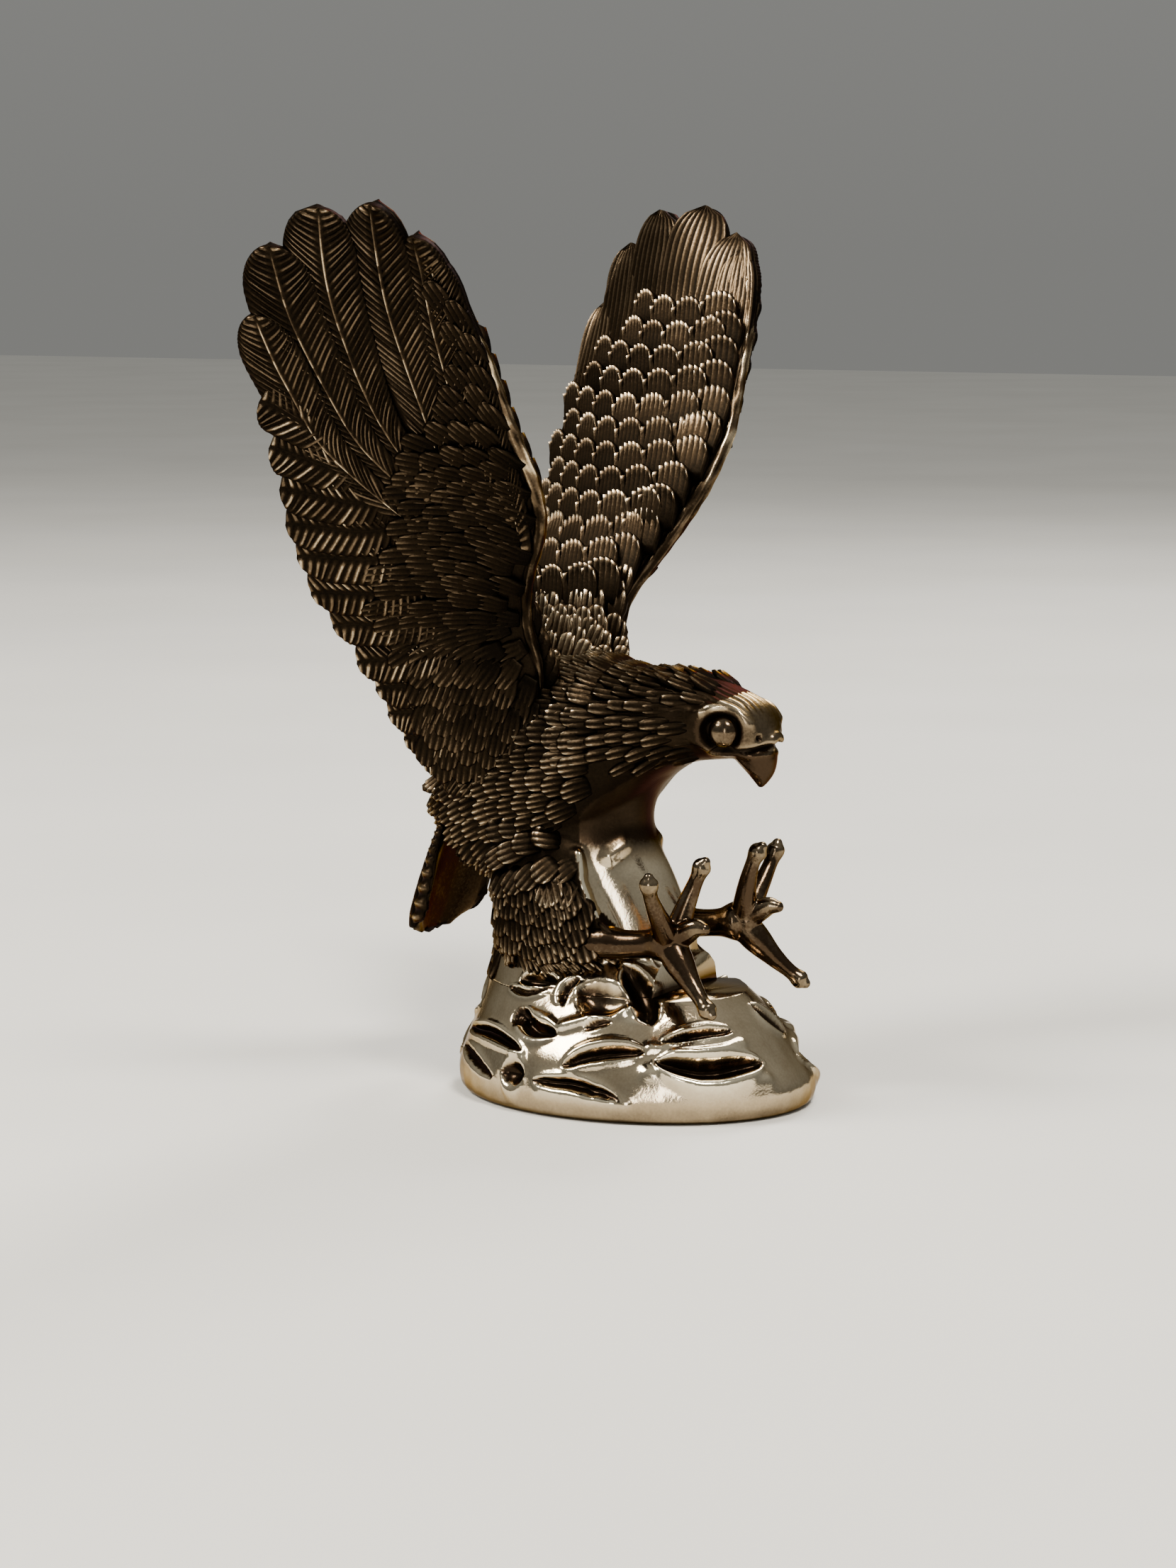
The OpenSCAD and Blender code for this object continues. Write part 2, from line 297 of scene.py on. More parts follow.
def spread(points):
    """The same for bare points, spaced evenly by their straight distances."""
    points = np.array(points, float)
    steps = np.linalg.norm(np.diff(points, axis=0), axis=1)
    place = np.concatenate([[0], np.cumsum(steps)]) / steps.sum()
    return through(np.column_stack([place, points]))


def ease(low, high, value):
    s = np.clip((value - low) / (high - low), 0, 1)
    return s * s * (3 - 2 * s)


def round_turn(n):
    """Angles evenly spaced round a full turn."""
    return np.linspace(0, 2 * np.pi, n, endpoint=False)


def unit(v):
    return v / np.maximum(np.linalg.norm(v, axis=-1, keepdims=True), 1e-9)


def set_field(data, name, values):
    """One value for every point of a mesh, for its finish to read."""
    if name not in data.attributes:
        data.attributes.new(name, "FLOAT", "POINT")
    data.attributes[name].data.foreach_set("value", np.asarray(values, np.float32))


def smoothed(data):
    data.polygons.foreach_set("use_smooth", [True] * len(data.polygons))
    data.update()
    return data


class Shells:
    """Closed shells gathered into one mesh, with a shade for every point."""

    def __init__(self):
        self.points = []
        self.faces = []
        self.shades = []
        self.count = 0

    def add(self, points, faces, shades):
        points = np.asarray(points, float).reshape(-1, 3)
        self.points.append(points)
        self.faces.extend((np.asarray(block) + self.count).tolist() for block in faces if len(block))
        self.shades.append(np.broadcast_to(np.asarray(shades, float).ravel(), len(points)))
        self.count += len(points)

    def shade_all(self, value):
        self.shades = [np.full(self.count, value)]

    def mesh(self, name):
        data = bpy.data.meshes.new(name)
        faces = [tuple(face) for block in self.faces for face in block]
        data.from_pydata((np.concatenate(self.points) * MM).tolist(), [], faces)
        set_field(data, "shade", np.concatenate(self.shades))
        return smoothed(data)

    def object(self, name):
        return added(name, self.mesh(name))


def grid_faces(rows, columns, closed=False, flip=False):
    j = np.arange(rows - 1)[:, None] * columns
    i = np.arange(columns if closed else columns - 1)[None, :]
    k = (i + 1) % columns
    quads = np.stack([j + i, j + k, j + columns + k, j + columns + i], -1).reshape(-1, 4)
    return quads[:, ::-1] if flip else quads


def tube(shells, rings, shades=0.5, flip=False):
    """A closed skin over rings that run the right-handed way round their travel."""
    rings = np.asarray(rings, float)
    m, n = rings.shape[:2]
    ends = np.stack([rings[0].mean(0), rings[-1].mean(0)])
    i = np.arange(n)
    k = (i + 1) % n
    low = np.stack([np.full(n, m * n), k, i], -1)
    high = np.stack([np.full(n, m * n + 1), (m - 1) * n + i, (m - 1) * n + k], -1)
    if flip:
        low, high = low[:, ::-1], high[:, ::-1]
    points = np.vstack([rings.reshape(-1, 3), ends])
    level = np.broadcast_to(np.asarray(shades, float), (m, n)).ravel()
    level = np.concatenate([level, [level[0], level[-1]]])
    shells.add(points, [grid_faces(m, n, True, flip), low, high], level)


def blade(shells, at, floor, spine, half_width, relief, rows, across, slant=0.0, flip=False, arc=0.0):
    """One closed feather. at(p, q, height) and floor(p, q) place a chart point in space."""
    v = (np.linspace(0.0, 1.0, rows) if isinstance(rows, int) else rows)[:, None]
    u = np.asarray(across, float)[None, :]
    room = np.minimum(v / 0.15, (1.0 - v) / (1.5 * slant + 0.05))
    slide = v + slant * np.abs(u) * np.minimum(1.0, room)
    slide = slide * (1 - arc * (1 - np.sqrt(np.clip(1 - u**2, 0, 1))))
    centre = spine(slide)
    ahead = unit(spine(slide + 0.01) - spine(slide - 0.01))
    wide = half_width(slide)
    chart = centre + np.stack([-ahead[..., 1], ahead[..., 0]], -1) * (u * wide)[..., None]
    height, shade = relief(u, v, wide)
    top = at(chart[..., 0], chart[..., 1], height)
    low = floor(chart[:, [0, -1], 0], chart[:, [0, -1], 1])
    r, c = top.shape[:2]
    base = r * c
    i = np.arange(r - 1)
    left = np.stack([i * c, (i + 1) * c, base + 2 * (i + 1), base + 2 * i], -1)
    right = np.stack([i * c + c - 1, base + 2 * i + 1, base + 2 * i + 3, (i + 1) * c + c - 1], -1)
    under = np.stack([base + 2 * i, base + 2 * (i + 1), base + 2 * i + 3, base + 2 * i + 1], -1)
    j = np.arange(c - 1)
    first = np.stack([np.full(c - 1, base), j + 1, j], -1)
    first = np.vstack([first, [[base, base + 1, c - 1]]])
    end = (r - 1) * c
    last = np.stack([np.full(c - 1, base + 2 * (r - 1)), end + j, end + j + 1], -1)
    last = np.vstack([last, [[base + 2 * (r - 1), end + c - 1, base + 2 * r - 1]]])
    blocks = [grid_faces(r, c), left, right, under, first, last]
    if not flip:
        blocks = [block[:, ::-1] for block in blocks]
    points = np.vstack([top.reshape(-1, 3), low.reshape(-1, 3)])
    shade = np.broadcast_to(shade, (r, c))
    shells.add(points, blocks, np.concatenate([shade.ravel(), np.full(2 * r, 0.05)]))


def round_tip(half, start=0.12, tip=0.22, root=0.5, point=2.0):
    """Half width along a feather: narrow root, full middle, round tip."""
    def wide(v):
        v = np.clip(v, 0, 1)
        head = np.clip(1 - (np.clip(v - (1 - tip), 0, None) / tip)**point, 0.0025, 1)**0.5
        return half * (root + (1 - root) * ease(0, start + 1e-6, v)) * head
    return wide


def lines_relief(ridges, depth, rise, arch, lift=0.0, shine=0.75, bead=0.0, ground=0.0):
    """Lengthwise ridges, two columns each; the feather climbs from root to tip."""
    def relief(u, v, wide):
        crest = 0.5 + 0.5 * np.cos(np.pi * ridges * (u + 1) + np.pi)
        fade = ease(0.05, 0.3, v) * (1 - 0.5 * ease(0.93, 1.0, v))
        drop = ease(0.9, 1.0, v) * 0.35 * rise * (bead == 0)
        knob = np.exp(-((v - 0.93) / 0.06)**2) * crest
        height = lift + rise * v - drop + arch * (1 - u**2) + depth * crest * fade + bead * knob
        # Ridges and beads are lighter as rubbed wear; towards its root the feather is painted darker,
        # painted shadow under the feather that overlaps it.
        shade = ground + shine * crest * fade * (0.12 + 0.88 * v**1.6) + 1.2 * bead * knob
        return height, shade
    return relief


def barbs_relief(barbs, depth, dome, shaft, lift=0.0, tilt=0.0, shine=0.6):
    """Slanted barbs either side of a raised shaft."""
    def relief(u, v, wide):
        crest = 0.5 - 0.5 * np.cos(2 * np.pi * barbs * v)
        edge = np.sqrt(np.clip(1 - u**2, 0, 1))
        quill = np.exp(-(u * wide / 0.17)**2) * ease(0.0, 0.1, v) * (1 - ease(0.93, 1, v))
        flank = ease(0.04, 0.16, np.abs(u)) * (0.35 + 0.65 * ease(1.0, 0.75, np.abs(u)))
        height = lift + dome * edge + tilt * u + depth * crest * flank + shaft * quill
        shade = shine * crest * flank + 2.0 * shaft * quill + 0.15 * ease(0.94, 1.0, v)
        return height, shade
    return relief


# Places across a barbed feather, close together at the shaft
BARB_COLUMNS = [-1, -0.93, -0.75, -0.5, -0.25, -0.09, -0.045, 0, 0.045, 0.09, 0.25, 0.5, 0.75, 0.93, 1]


def line_columns(ridges):
    """Places across a ridged feather: each crest and each dip."""
    return np.linspace(-1, 1, 2 * ridges + 1)


# ---------------------------------------------------------------- mesh tools


def baked(thing):
    """A plain mesh of an object with its modifiers worked in."""
    graph = bpy.context.evaluated_depsgraph_get()
    return bpy.data.meshes.new_from_object(thing.evaluated_get(graph))


def fused(name, shells, cell, passes):
    """One skin over overlapping shells, softened where they meet."""
    thing = shells.object(name)
    remesh = thing.modifiers.new("fuse", "REMESH")
    remesh.mode = "VOXEL"
    remesh.voxel_size = cell * MM
    soften = thing.modifiers.new("soften", "SMOOTH")
    soften.factor = 0.5
    soften.iterations = passes
    data = baked(thing)
    bpy.data.objects.remove(thing)
    return data


def vectors_of(data, what):
    flat = np.empty(len(data.vertices) * 3, np.float32)
    data.vertices.foreach_get(what, flat)
    return flat.reshape(-1, 3).astype(float)


def points_of(data):
    return vectors_of(data, "co") / MM


def set_points(data, points):
    data.vertices.foreach_set("co", (points * MM).astype(np.float32).ravel())
    data.update()


def relax(data, passes):
    """Evens out a mesh, keeping its shape broadly."""
    mesh = bmesh.new()
    mesh.from_mesh(data)
    for _ in range(passes):
        bmesh.ops.smooth_vert(mesh, verts=mesh.verts, factor=0.5,
                              use_axis_x=True, use_axis_y=True, use_axis_z=True)
    mesh.to_mesh(data)
    mesh.free()


def joined(name, parts, material):
    """Several meshes as one piece with one material."""
    points = []
    faces = []
    fields = {"shade": [], "tone": [], "polish": []}
    count = 0
    for data in parts:
        block = points_of(data)
        points.append(block)
        for key, values in fields.items():
            level = np.zeros(len(block), np.float32)
            if key in data.attributes:
                data.attributes[key].data.foreach_get("value", level)
            values.append(level)
        faces.extend(tuple(v + count for v in face.vertices) for face in data.polygons)
        count += len(block)
    data = bpy.data.meshes.new(name)
    data.from_pydata((np.concatenate(points) * MM).tolist(), [], faces)
    for key, values in fields.items():
        set_field(data, key, np.concatenate(values))
    data.materials.append(material)
    return added(name, smoothed(data))


def hand_over(piece, node):
    """Puts a finished piece on the body, in its CAD node's place."""
    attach(piece, BODY)
    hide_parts(node)


def make_pair(node, parts, slot, finishes):
    """The left casting as it was made, and the right one as its mirror image."""
    for side in ("left", "right"):
        piece = joined(f"{side}_{node}_cast", parts, finishes[slot])
        if side == "right":
            set_points(piece.data, points_of(piece.data) * (-1, 1, 1))
            piece.data.flip_normals()
        hand_over(piece, f"{side}_{node}")


def scattering_tree():
    """Geometry Nodes: one feather on every point, turned and sized by the point's own fields."""
    tree = bpy.data.node_groups.new("laid_feathers", "GeometryNodeTree")
    face = tree.interface
    for name, kind in (("Points", "Geometry"), ("Feather", "Object"),
                       ("Length", "Float"), ("Finish", "Material")):
        face.new_socket(name, in_out="INPUT", socket_type="NodeSocket" + kind)
    face.new_socket("Feathers", in_out="OUTPUT", socket_type="NodeSocketGeometry")
    nodes = tree.nodes
    start = nodes.new("NodeGroupInput")
    feather = nodes.new("GeometryNodeObjectInfo")
    turn = nodes.new("GeometryNodeInputNamedAttribute")
    size = nodes.new("GeometryNodeInputNamedAttribute")
    for node, name in ((turn, "turn"), (size, "size")):
        node.data_type = "FLOAT_VECTOR"
        node.inputs["Name"].default_value = name
    stretch = nodes.new("ShaderNodeCombineXYZ")
    stretch.inputs["X"].default_value = 1.0
    stretch.inputs["Z"].default_value = 1.0
    scaled = nodes.new("ShaderNodeVectorMath")
    scaled.operation = "MULTIPLY"
    lay = nodes.new("GeometryNodeInstanceOnPoints")
    real = nodes.new("GeometryNodeRealizeInstances")
    paint = nodes.new("GeometryNodeSetMaterial")
    end = nodes.new("NodeGroupOutput")
    for source, out, target, into in (
            (start, "Points", lay, "Points"), (start, "Feather", feather, "Object"),
            (start, "Length", stretch, "Y"), (size, "Attribute", scaled, 0),
            (stretch, "Vector", scaled, 1), (feather, "Geometry", lay, "Instance"),
            (turn, "Attribute", lay, "Rotation"), (scaled, "Vector", lay, "Scale"),
            (lay, "Instances", real, "Geometry"), (real, "Geometry", paint, "Geometry"),
            (start, "Finish", paint, "Material"), (paint, "Geometry", end, "Feathers")):
        tree.links.new(source.outputs[out], target.inputs[into])
    return tree


def laid(tree, feather, places, material):
    """Feathers on places: rows of (point, along, outward, width share, length share, height share)."""
    cloud = bpy.data.meshes.new("places")
    cloud.from_pydata([tuple(p[0] * MM) for p in places], [], [])
    turns = []
    for _, along, outward, *_ in places:
        side = np.cross(along, outward)
        turns.append(tuple(Matrix(np.stack([side, along, outward], 1).tolist()).to_euler()))
    for name, rows in (("turn", turns), ("size", [p[3:6] for p in places])):
        field = cloud.attributes.new(name, "FLOAT_VECTOR", "POINT")
        field.data.foreach_set("vector", np.array(rows, np.float32).ravel())
    set_field(cloud, "tone", RNG.normal(0.0, 0.05, len(places)))
    holder = added("places", cloud)
    layer = holder.modifiers.new("lay", "NODES")
    layer.node_group = tree
    given = {"Feather": feather, "Length": 1.0, "Finish": material}
    for item in tree.interface.items_tree:
        if item.in_out == "INPUT" and item.name in given:
            layer[item.identifier] = given[item.name]
    data = baked(holder)
    bpy.data.objects.remove(holder)
    return data


def flat_feather(name, half, length, ridges, depth, rise, arch, rows, arc, root, shine,
                 bead=0.0, ground=0.0):
    """A loose scale feather lying along +Y, to be laid many times."""
    shells = Shells()
    spine = spread([(0, 0), (0, length / 2), (0, length)])

    def at(p, q, height):
        return np.stack([p, q, height + 0 * p], -1)

    def floor(p, q):
        return np.stack([p * 0.9, q, 0 * p - 0.45], -1)

    def wide(v):
        return half * (root + (1 - root) * ease(0, 0.4, v))

    stations = 1 - (1 - np.linspace(0, 1, rows))**1.5
    relief = lines_relief(ridges, depth, rise, arch, 0.0, shine, bead, ground)
    blade(shells, at, floor, spine, wide, relief, stations, line_columns(ridges), arc=arc)
    thing = shells.object(name)
    thing.hide_render = True
    return thing


# ---------------------------------------------------------------- wings

# Left wing by height: leading edge x, y and trailing edge x, y
WING = through([
    [46, 8, 9, 8.5, 27], [52, 9.5, 9, 12.5, 31.5], [58, 10.5, 8.6, 16, 32.5],
    [62, 11.6, 8.3, 18.5, 33.2], [66, 12.4, 9.1, 21, 34], [70, 14, 8.9, 24.2, 34.6],
    [76, 17.8, 6, 29.8, 35.2], [82, 20.4, 2.6, 33.5, 35], [88, 24.4, 0.8, 36.4, 35],
    [94, 29.4, 0.5, 38.9, 34.5], [100, 32.8, 1.1, 41.3, 34.2], [106, 35.9, 1.6, 44.8, 34.1],
    [112, 39.2, 2.7, 47.3, 32.9], [118, 42, 5, 48.4, 30.5], [124, 45.2, 9, 48.8, 27],
    [130, 47.5, 13, 49, 23]])
CAMBER = 2.6
WING_FOOT = 44.0

# Flight feathers on the wing's own chart: (y, z) from root to tip, and half width
PRIMARIES = [
    ([(20, 83), (25.5, 89.5), (29.3, 95.3), (31.2, 103.4), (32.2, 112.0)], 4.1),
    ([(18, 86), (24.6, 96.0), (26.8, 104.5), (28.2, 113.5), (28.6, 121.2)], 4.6),
    ([(16, 88), (20.7, 98.4), (22.1, 109.9), (22.5, 117), (22.0, 126.2)], 4.7),
    ([(12.2, 86), (13.8, 98.2), (14.7, 110.6), (14.9, 118.2), (14.0, 126.7)], 5.1),
    ([(7.4, 84), (8.6, 97.1), (8.8, 108), (8.4, 115.4), (8.0, 122.4)], 4.4),
    ([(6.6, 80), (4.7, 90), (4.2, 98), (4.9, 106), (5.9, 113), (6.6, 120.2)], 3.2)]
# Tips of the short flight feathers down the trailing edge, (y, z)
SECONDARY_TIPS = [
    (34.9, 100.6), (35.2, 94.2), (35.4, 88.4), (36.0, 83.4), (36.0, 78.8), (36.4, 73.6), (35.9, 68.6),
    (34.5, 63.0), (33.0, 59.2), (32.4, 55.4), (31.0, 51.8), (29.2, 48.4), (26.6, 45.8)]


def wing_x(y, z):
    front_x, front_y, back_x, back_y = np.moveaxis(WING(z), -1, 0)
    t = (y - front_y) / (back_y - front_y)
    bow = CAMBER * np.sin(np.pi * np.clip(t, 0, 1)) * ease(49, 66, z)
    return front_x + (back_x - front_x) * t - bow


def wing_half(y, z):
    """Half thickness of the wing's own sheet, under its feathers: thin at both edges."""
    edge = WING(z)
    t = (y - edge[..., 1]) / (edge[..., 3] - edge[..., 1])
    full = ease(-0.06, 0.26, t) * ease(1.06, 0.7, t)
    return 0.55 + (0.35 + 1.15 * full) * ease(112, 58, z)


def wing_at(side):
    def at(y, z, height):
        y, z, height = np.broadcast_arrays(np.asarray(y, float), z, height)
        d = 0.4
        out = np.stack([np.ones_like(y),
                        -(wing_x(y + d, z) - wing_x(y - d, z)) / (2 * d),
                        -(wing_x(y, z + d) - wing_x(y, z - d)) / (2 * d)], -1)
        centre = np.stack([wing_x(y, z), y, z], -1)
        return centre + unit(out) * (side * (wing_half(y, z) + height))[..., None]

    def floor(y, z):
        return at(y, z, -wing_half(y, z) - 0.08)

    return at, floor


BARB_ROUGHNESS = 0.35


def roughened(relief, barbs):
    """Breaks the barbs up a little, as filed metal is."""
    table = RNG.uniform(-BARB_ROUGHNESS, BARB_ROUGHNESS, (barbs + 3, 2))

    def rough(u, v, wide):
        height, shade = relief(u, v, wide)
        index = np.clip(np.rint(v * barbs - 0.5).astype(int), 0, len(table) - 1)
        pick = np.where(u > 0, table[index, 1], table[index, 0])
        return height + 0.12 * pick * (np.abs(u) > 0.06), shade * (1 + pick)

    return rough


def length_of(points):
    points = np.array(points, float)
    return np.linalg.norm(np.diff(points, axis=0), axis=1).sum()


def wing_sheet(shells):
    """The thin casting under the feathers."""
    t = np.linspace(0.0, 1.0, 25)
    crown = through([[0, 110], [0.15, 118], [0.35, 121.5], [0.6, 120], [0.8, 114], [0.93, 104], [1, 96]])
    s = np.linspace(0.0, 1.0, 46)[:, None]
    z = WING_FOOT + s * (crown(t)[None, :, 0] - WING_FOOT)
    front_y, back_y = WING(z)[..., 1], WING(z)[..., 3]
    y = front_y + 0.8 + (back_y - 1.4 - front_y - 0.8) * t
    edge = np.sqrt(np.clip(1 - (2 * t - 1)**8, 0, 1))
    rings = []
    for side in (1, -1):
        at, _ = wing_at(side)
        rings.append(at(y, z, (edge - 1) * wing_half(y, z) - 0.05))
    tube(shells, np.concatenate([rings[0], rings[1][:, ::-1]], 1), 0.12)


def rim(shells):
    """The rounded leading edge, hammered along its length."""
    z = np.linspace(59.0, 121.0, 120)
    edge = WING(z)
    a = round_turn(22)[None, :]
    at, _ = wing_at(1)
    centre_y = edge[:, 1] + 0.95 - 0.6 * ease(112, 121, z)
    size = np.interp(z, [59, 63, 75, 90, 104, 114, 119.5, 121], [0.3, 0.8, 0.95, 1.05, 1.0, 0.9, 0.7, 0.2])
    zz = z[:, None]
    wave = (0.08 * np.sin(5 * a + 0.35 * zz) + 0.04 * np.sin(0.9 * zz + 2 * a)
            + 0.04 * np.sin(2.1 * zz - 3 * a) + 0.06 * np.sin(9 * a - 0.5 * zz + 2))
    r = size[:, None] * (1 + wave)
    y = centre_y[:, None] - r * np.cos(a) * 0.95
    up = r * np.sin(a)
    centre = at(y, zz, -wing_half(y, zz))
    out = unit(at(y, zz, 0.5) - centre)
    rings = centre + out * up[..., None]
    # Rubbed wear and painted highlight: the rim is painted lighter from partway up and on its hammered
    # bulges, and a little lighter on its front.
    wear_and_sheen = ease(76, 92, zz) * (0.30 + 0.22 * np.sin(0.8 * zz) * np.sin(0.31 * zz + 1))
    shade = 0.22 + wear_and_sheen + 1.6 * wave + 0.12 * np.cos(a)
    tube(shells, rings, shade)


def primaries(shells):
    """The long flight feathers: barbed on the open face, lined on the back."""
    for side in (1, -1):
        at, floor = wing_at(side)
        for path, half in PRIMARIES:
            length = length_of(path)
            spine = spread(path)
            wide = round_tip(half, start=0.75, tip=6.2 / length, root=0.5, point=1.9)
            if side > 0:
                barbs = int(length)
                relief = barbs_relief(barbs, depth=0.38, dome=0.18, shaft=0.36, lift=0.05,
                                      tilt=0.34, shine=0.50)
                blade(shells, at, floor, spine, wide, roughened(relief, barbs), 5 * barbs,
                      BARB_COLUMNS, slant=4.6 / length)
            else:
                relief = lines_relief(9, depth=0.44, rise=0.25, arch=0.15, lift=0.02, shine=0.78)
                blade(shells, at, floor, spine, wide, tilted(relief, -0.25), 34,
                      line_columns(9), flip=True)


def tilted(relief, slope):
    """Raises one side of a feather over its neighbour."""
    def lean(u, v, wide):
        height, shade = relief(u, v, wide)
        return height + slope * u, shade
    return lean


def sunk_root(relief, share, drop):
    """Lets a feather rise out of the sheet over the first share of its length, its sunken root painted
    darker as painted shade.
    """
    def rising(u, v, wide):
        height, shade = relief(u, v, wide)
        up = ease(0.0, share, v)
        return height - drop * (1 - up), shade * (0.2 + 0.8 * up)
    return rising


def secondaries(shells):
    """The short flight feathers that step down the trailing edge."""
    count = len(SECONDARY_TIPS)
    for number, (y, z) in enumerate(SECONDARY_TIPS):
        k = number / (count - 1)
        root_y = 16.5 - 3.0 * k + 6.0 * (1 - k)**3
        root_z = z + 1.5 + 4.5 * math.sin(math.pi * k) - 8.0 * (1 - k)**2
        path = [(root_y, root_z), ((root_y + y) / 2, (root_z + z) / 2 - 0.9), (y, z)]
        length = length_of(path)
        spine = spread(path)
        wide = round_tip(3.6 - 0.5 * k, start=0.2, tip=0.14, root=0.8)
        at, floor = wing_at(1)
        barbs = int(length / 0.95)
        relief = barbs_relief(barbs, depth=0.42, dome=0.22, shaft=0.05, lift=0.10 + 0.02 * number,
                              tilt=-0.50, shine=0.64)
        relief = sunk_root(roughened(relief, barbs), share=0.55, drop=1.3)
        blade(shells, at, floor, spine, wide, relief, 5 * barbs, BARB_COLUMNS, slant=2.2 / length)
        at, floor = wing_at(-1)
        relief = tilted(lines_relief(5, depth=0.30, rise=0.2, arch=0.2, lift=0.05, shine=0.5), 0.3)
        blade(shells, at, floor, spine, wide, relief, 16, line_columns(5), flip=True)


def on_wing(at, y, z, dy, dz, lift, *size):
    """One feather's place on a wing face, heading (dy, dz) on the wing's chart."""
    point = at(y, z, 0.0)
    out = unit(at(y, z, 0.5) - point)
    ahead = laid_along(out, at(y + 0.5 * dy, z + 0.5 * dz, 0.0) - point)
    return (point + out * lift, ahead, out, *size)


def covert_places(side):
    """Small feathers on a wing face: rows of (point, along, outward, width, length, height)."""
    at, _ = wing_at(side)
    places = []
    if side < 0:
        for row, z in enumerate(np.arange(70.0, 110.0, 3.6)):
            front, back = WING(z)[1] + 2.4, WING(z)[3] - 0.6
            if z > 96:
                back -= (z - 96) * 0.75
            y = back - (1.6 if row % 2 else 3.8)
            while y > front - 3.0:
                share = min((back - y) / max(back - front, 1), 1.0)
                wide = 0.56 + 0.40 * share
                place = max(y, front + 3.7 * wide - 1.9)
                up = z - 1.8 - 1.6 * math.sin(math.pi * share)
                places.append(on_wing(at, place, up, 0.06, 1.0, 0.35, wide, 1.0, 1.2))
                y -= 6.7 * wide
    else:
        for row, z in enumerate(np.arange(112.0, 46.0, -2.2)):
            front = WING(z)[1] + 0.9
            reach = np.interp(z, [46, 60, 75, 88, 94, 100, 112], [16, 17, 18, 17, 12, 4.5, 2.0])
            y = front + (0.2 if row % 2 else 1.7)
            while y < front + reach:
                share = (y - front) / reach
                down = ease(76, 56, z)
                up = ease(86, 102, z)
                dy = (0.9 + 0.2 * share) * (1 - 0.7 * down) * (1 - 0.65 * up)
                dz = 0.45 * (1 - down) * (1 - share) - 0.1 * (1 - down) * share - 0.95 * down + 0.8 * up
                jump = RNG.normal(0.0, 0.3, 2)
                places.append(on_wing(at, y + abs(jump[0]), z + jump[1], dy, dz, 0.35,
                                      0.50 + 0.08 * share, 0.9, 0.9))
                y += 3.2
    return places


def strand_places():
    """Loose strands over the dorsal root of the wing."""
    at, _ = wing_at(-1)
    places = []
    for z in np.arange(71.0, 49.0, -1.8):
        front, back = WING(z)[1] + 0.9, WING(z)[3] - 1.0
        for y in np.arange(front + RNG.uniform(0, 1), back, 2.1):
            y_here, z_here = y + RNG.normal(0, 0.2), z - 1.5 + RNG.normal(0, 0.35)
            lean = 0.1 * RNG.normal() + float(ease(66, 54, z))
            size = RNG.uniform(0.9, 1.15)
            places.append(on_wing(at, y_here, z_here, -0.8 * lean, 1 - 0.55 * lean, 0.2,
                                  size, 1.1 * size, 1.0))
    return places


def make_wings(tree, finishes):
    shells = Shells()
    wing_sheet(shells)
    rim(shells)
    primaries(shells)
    secondaries(shells)
    up = flat_feather("up_covert", 3.7, 7.0, ridges=7, depth=0.42, rise=0.85, arch=0.25, rows=9,
                      arc=0.48, root=0.85, shine=0.64, bead=0.36)
    down = flat_feather("down_covert", 3.4, 6.0, ridges=4, depth=0.46, rise=0.42, arch=0.15, rows=7,
                        arc=0.45, root=0.7, shine=0.62)
    # The strands' ground paints them lighter all over, painted light for the bright light on the wing's
    # root.
    strand = flat_feather("strand", 1.5, 4.4, ridges=3, depth=0.42, rise=0.34, arch=0.10, rows=6,
                          arc=0.4, root=0.6, shine=0.85, ground=0.22)
    finish = finishes["antique_bronze"]
    base = shells.mesh("wing_base")
    dorsal = laid(tree, up, covert_places(-1), finish)
    strands = laid(tree, strand, strand_places(), finish)
    ventral = laid(tree, down, covert_places(1), finish)
    make_pair("wing", [base, dorsal, strands, ventral], "antique_bronze", finishes)
    for loose in (up, down, strand):
        bpy.data.objects.remove(loose)


# ---------------------------------------------------------------- rock, body and head

# Rock by height: front, back and side reach
ROCK = through([
    [0, 25.7, 25.7, 20.3], [0.6, 26.5, 26.5, 21.1], [1.5, 26.9, 26.9, 21.5], [4, 27, 27, 21.6],
    [8, 24.0, 25.6, 20.3], [12, 20.9, 24.1, 17.5], [16, 16.8, 23.0, 14.3], [20.5, 10.5, 22.5, 10.8],
    [24, 8.5, 22.2, 9.6], [28, 7, 22.2, 9.4], [32, 5, 23, 9.8], [36, 2.6, 24.4, 10.3],
    [40, 1.6, 26, 10.6], [44, 3, 27, 11], [47, 6, 24, 10]])
# Torso by reach: top, bottom, half width
TORSO = through([
    [-8, 61.1, 48.2, 8.2], [-4, 61.1, 45.4, 9.3], [0, 61.5, 41, 10.8], [6, 62, 35, 12],
    [12, 61, 33, 12], [18, 58, 32, 11], [24, 53, 32, 9.5], [28, 48, 35, 7], [31, 43.5, 38, 4]])
# Left thigh by height: front, back, inner and outer side
THIGH = through([
    [17, 3, 14, 5, 9.4], [20, -1.0, 16.2, 4.4, 11.6], [23, -2.2, 17, 4, 12.6], [26, -1.2, 17.2, 4, 13.0],
    [31, 1.5, 17.6, 4, 12.8], [36, 4, 18.4, 5, 12.0], [41, 8, 17, 6, 10.4], [45, 10, 16, 6.5, 9.6]])
# Neck and head by reach: top, bottom, half width
NECK = through([
    [-22.3, 53.8, 51.9, 1.6], [-21.8, 55.2, 50.9, 3.1], [-20.9, 56.7, 50.3, 4.5],
    [-19.5, 57.9, 50.0, 5.7], [-17, 59.1, 49.7, 6.5], [-14, 60.2, 49.4, 7.0],
    [-11, 60.8, 49.0, 7.5], [-8, 61.1, 48.2, 8.2], [-4, 61.1, 46.5, 8.6], [0, 60, 48, 7]])
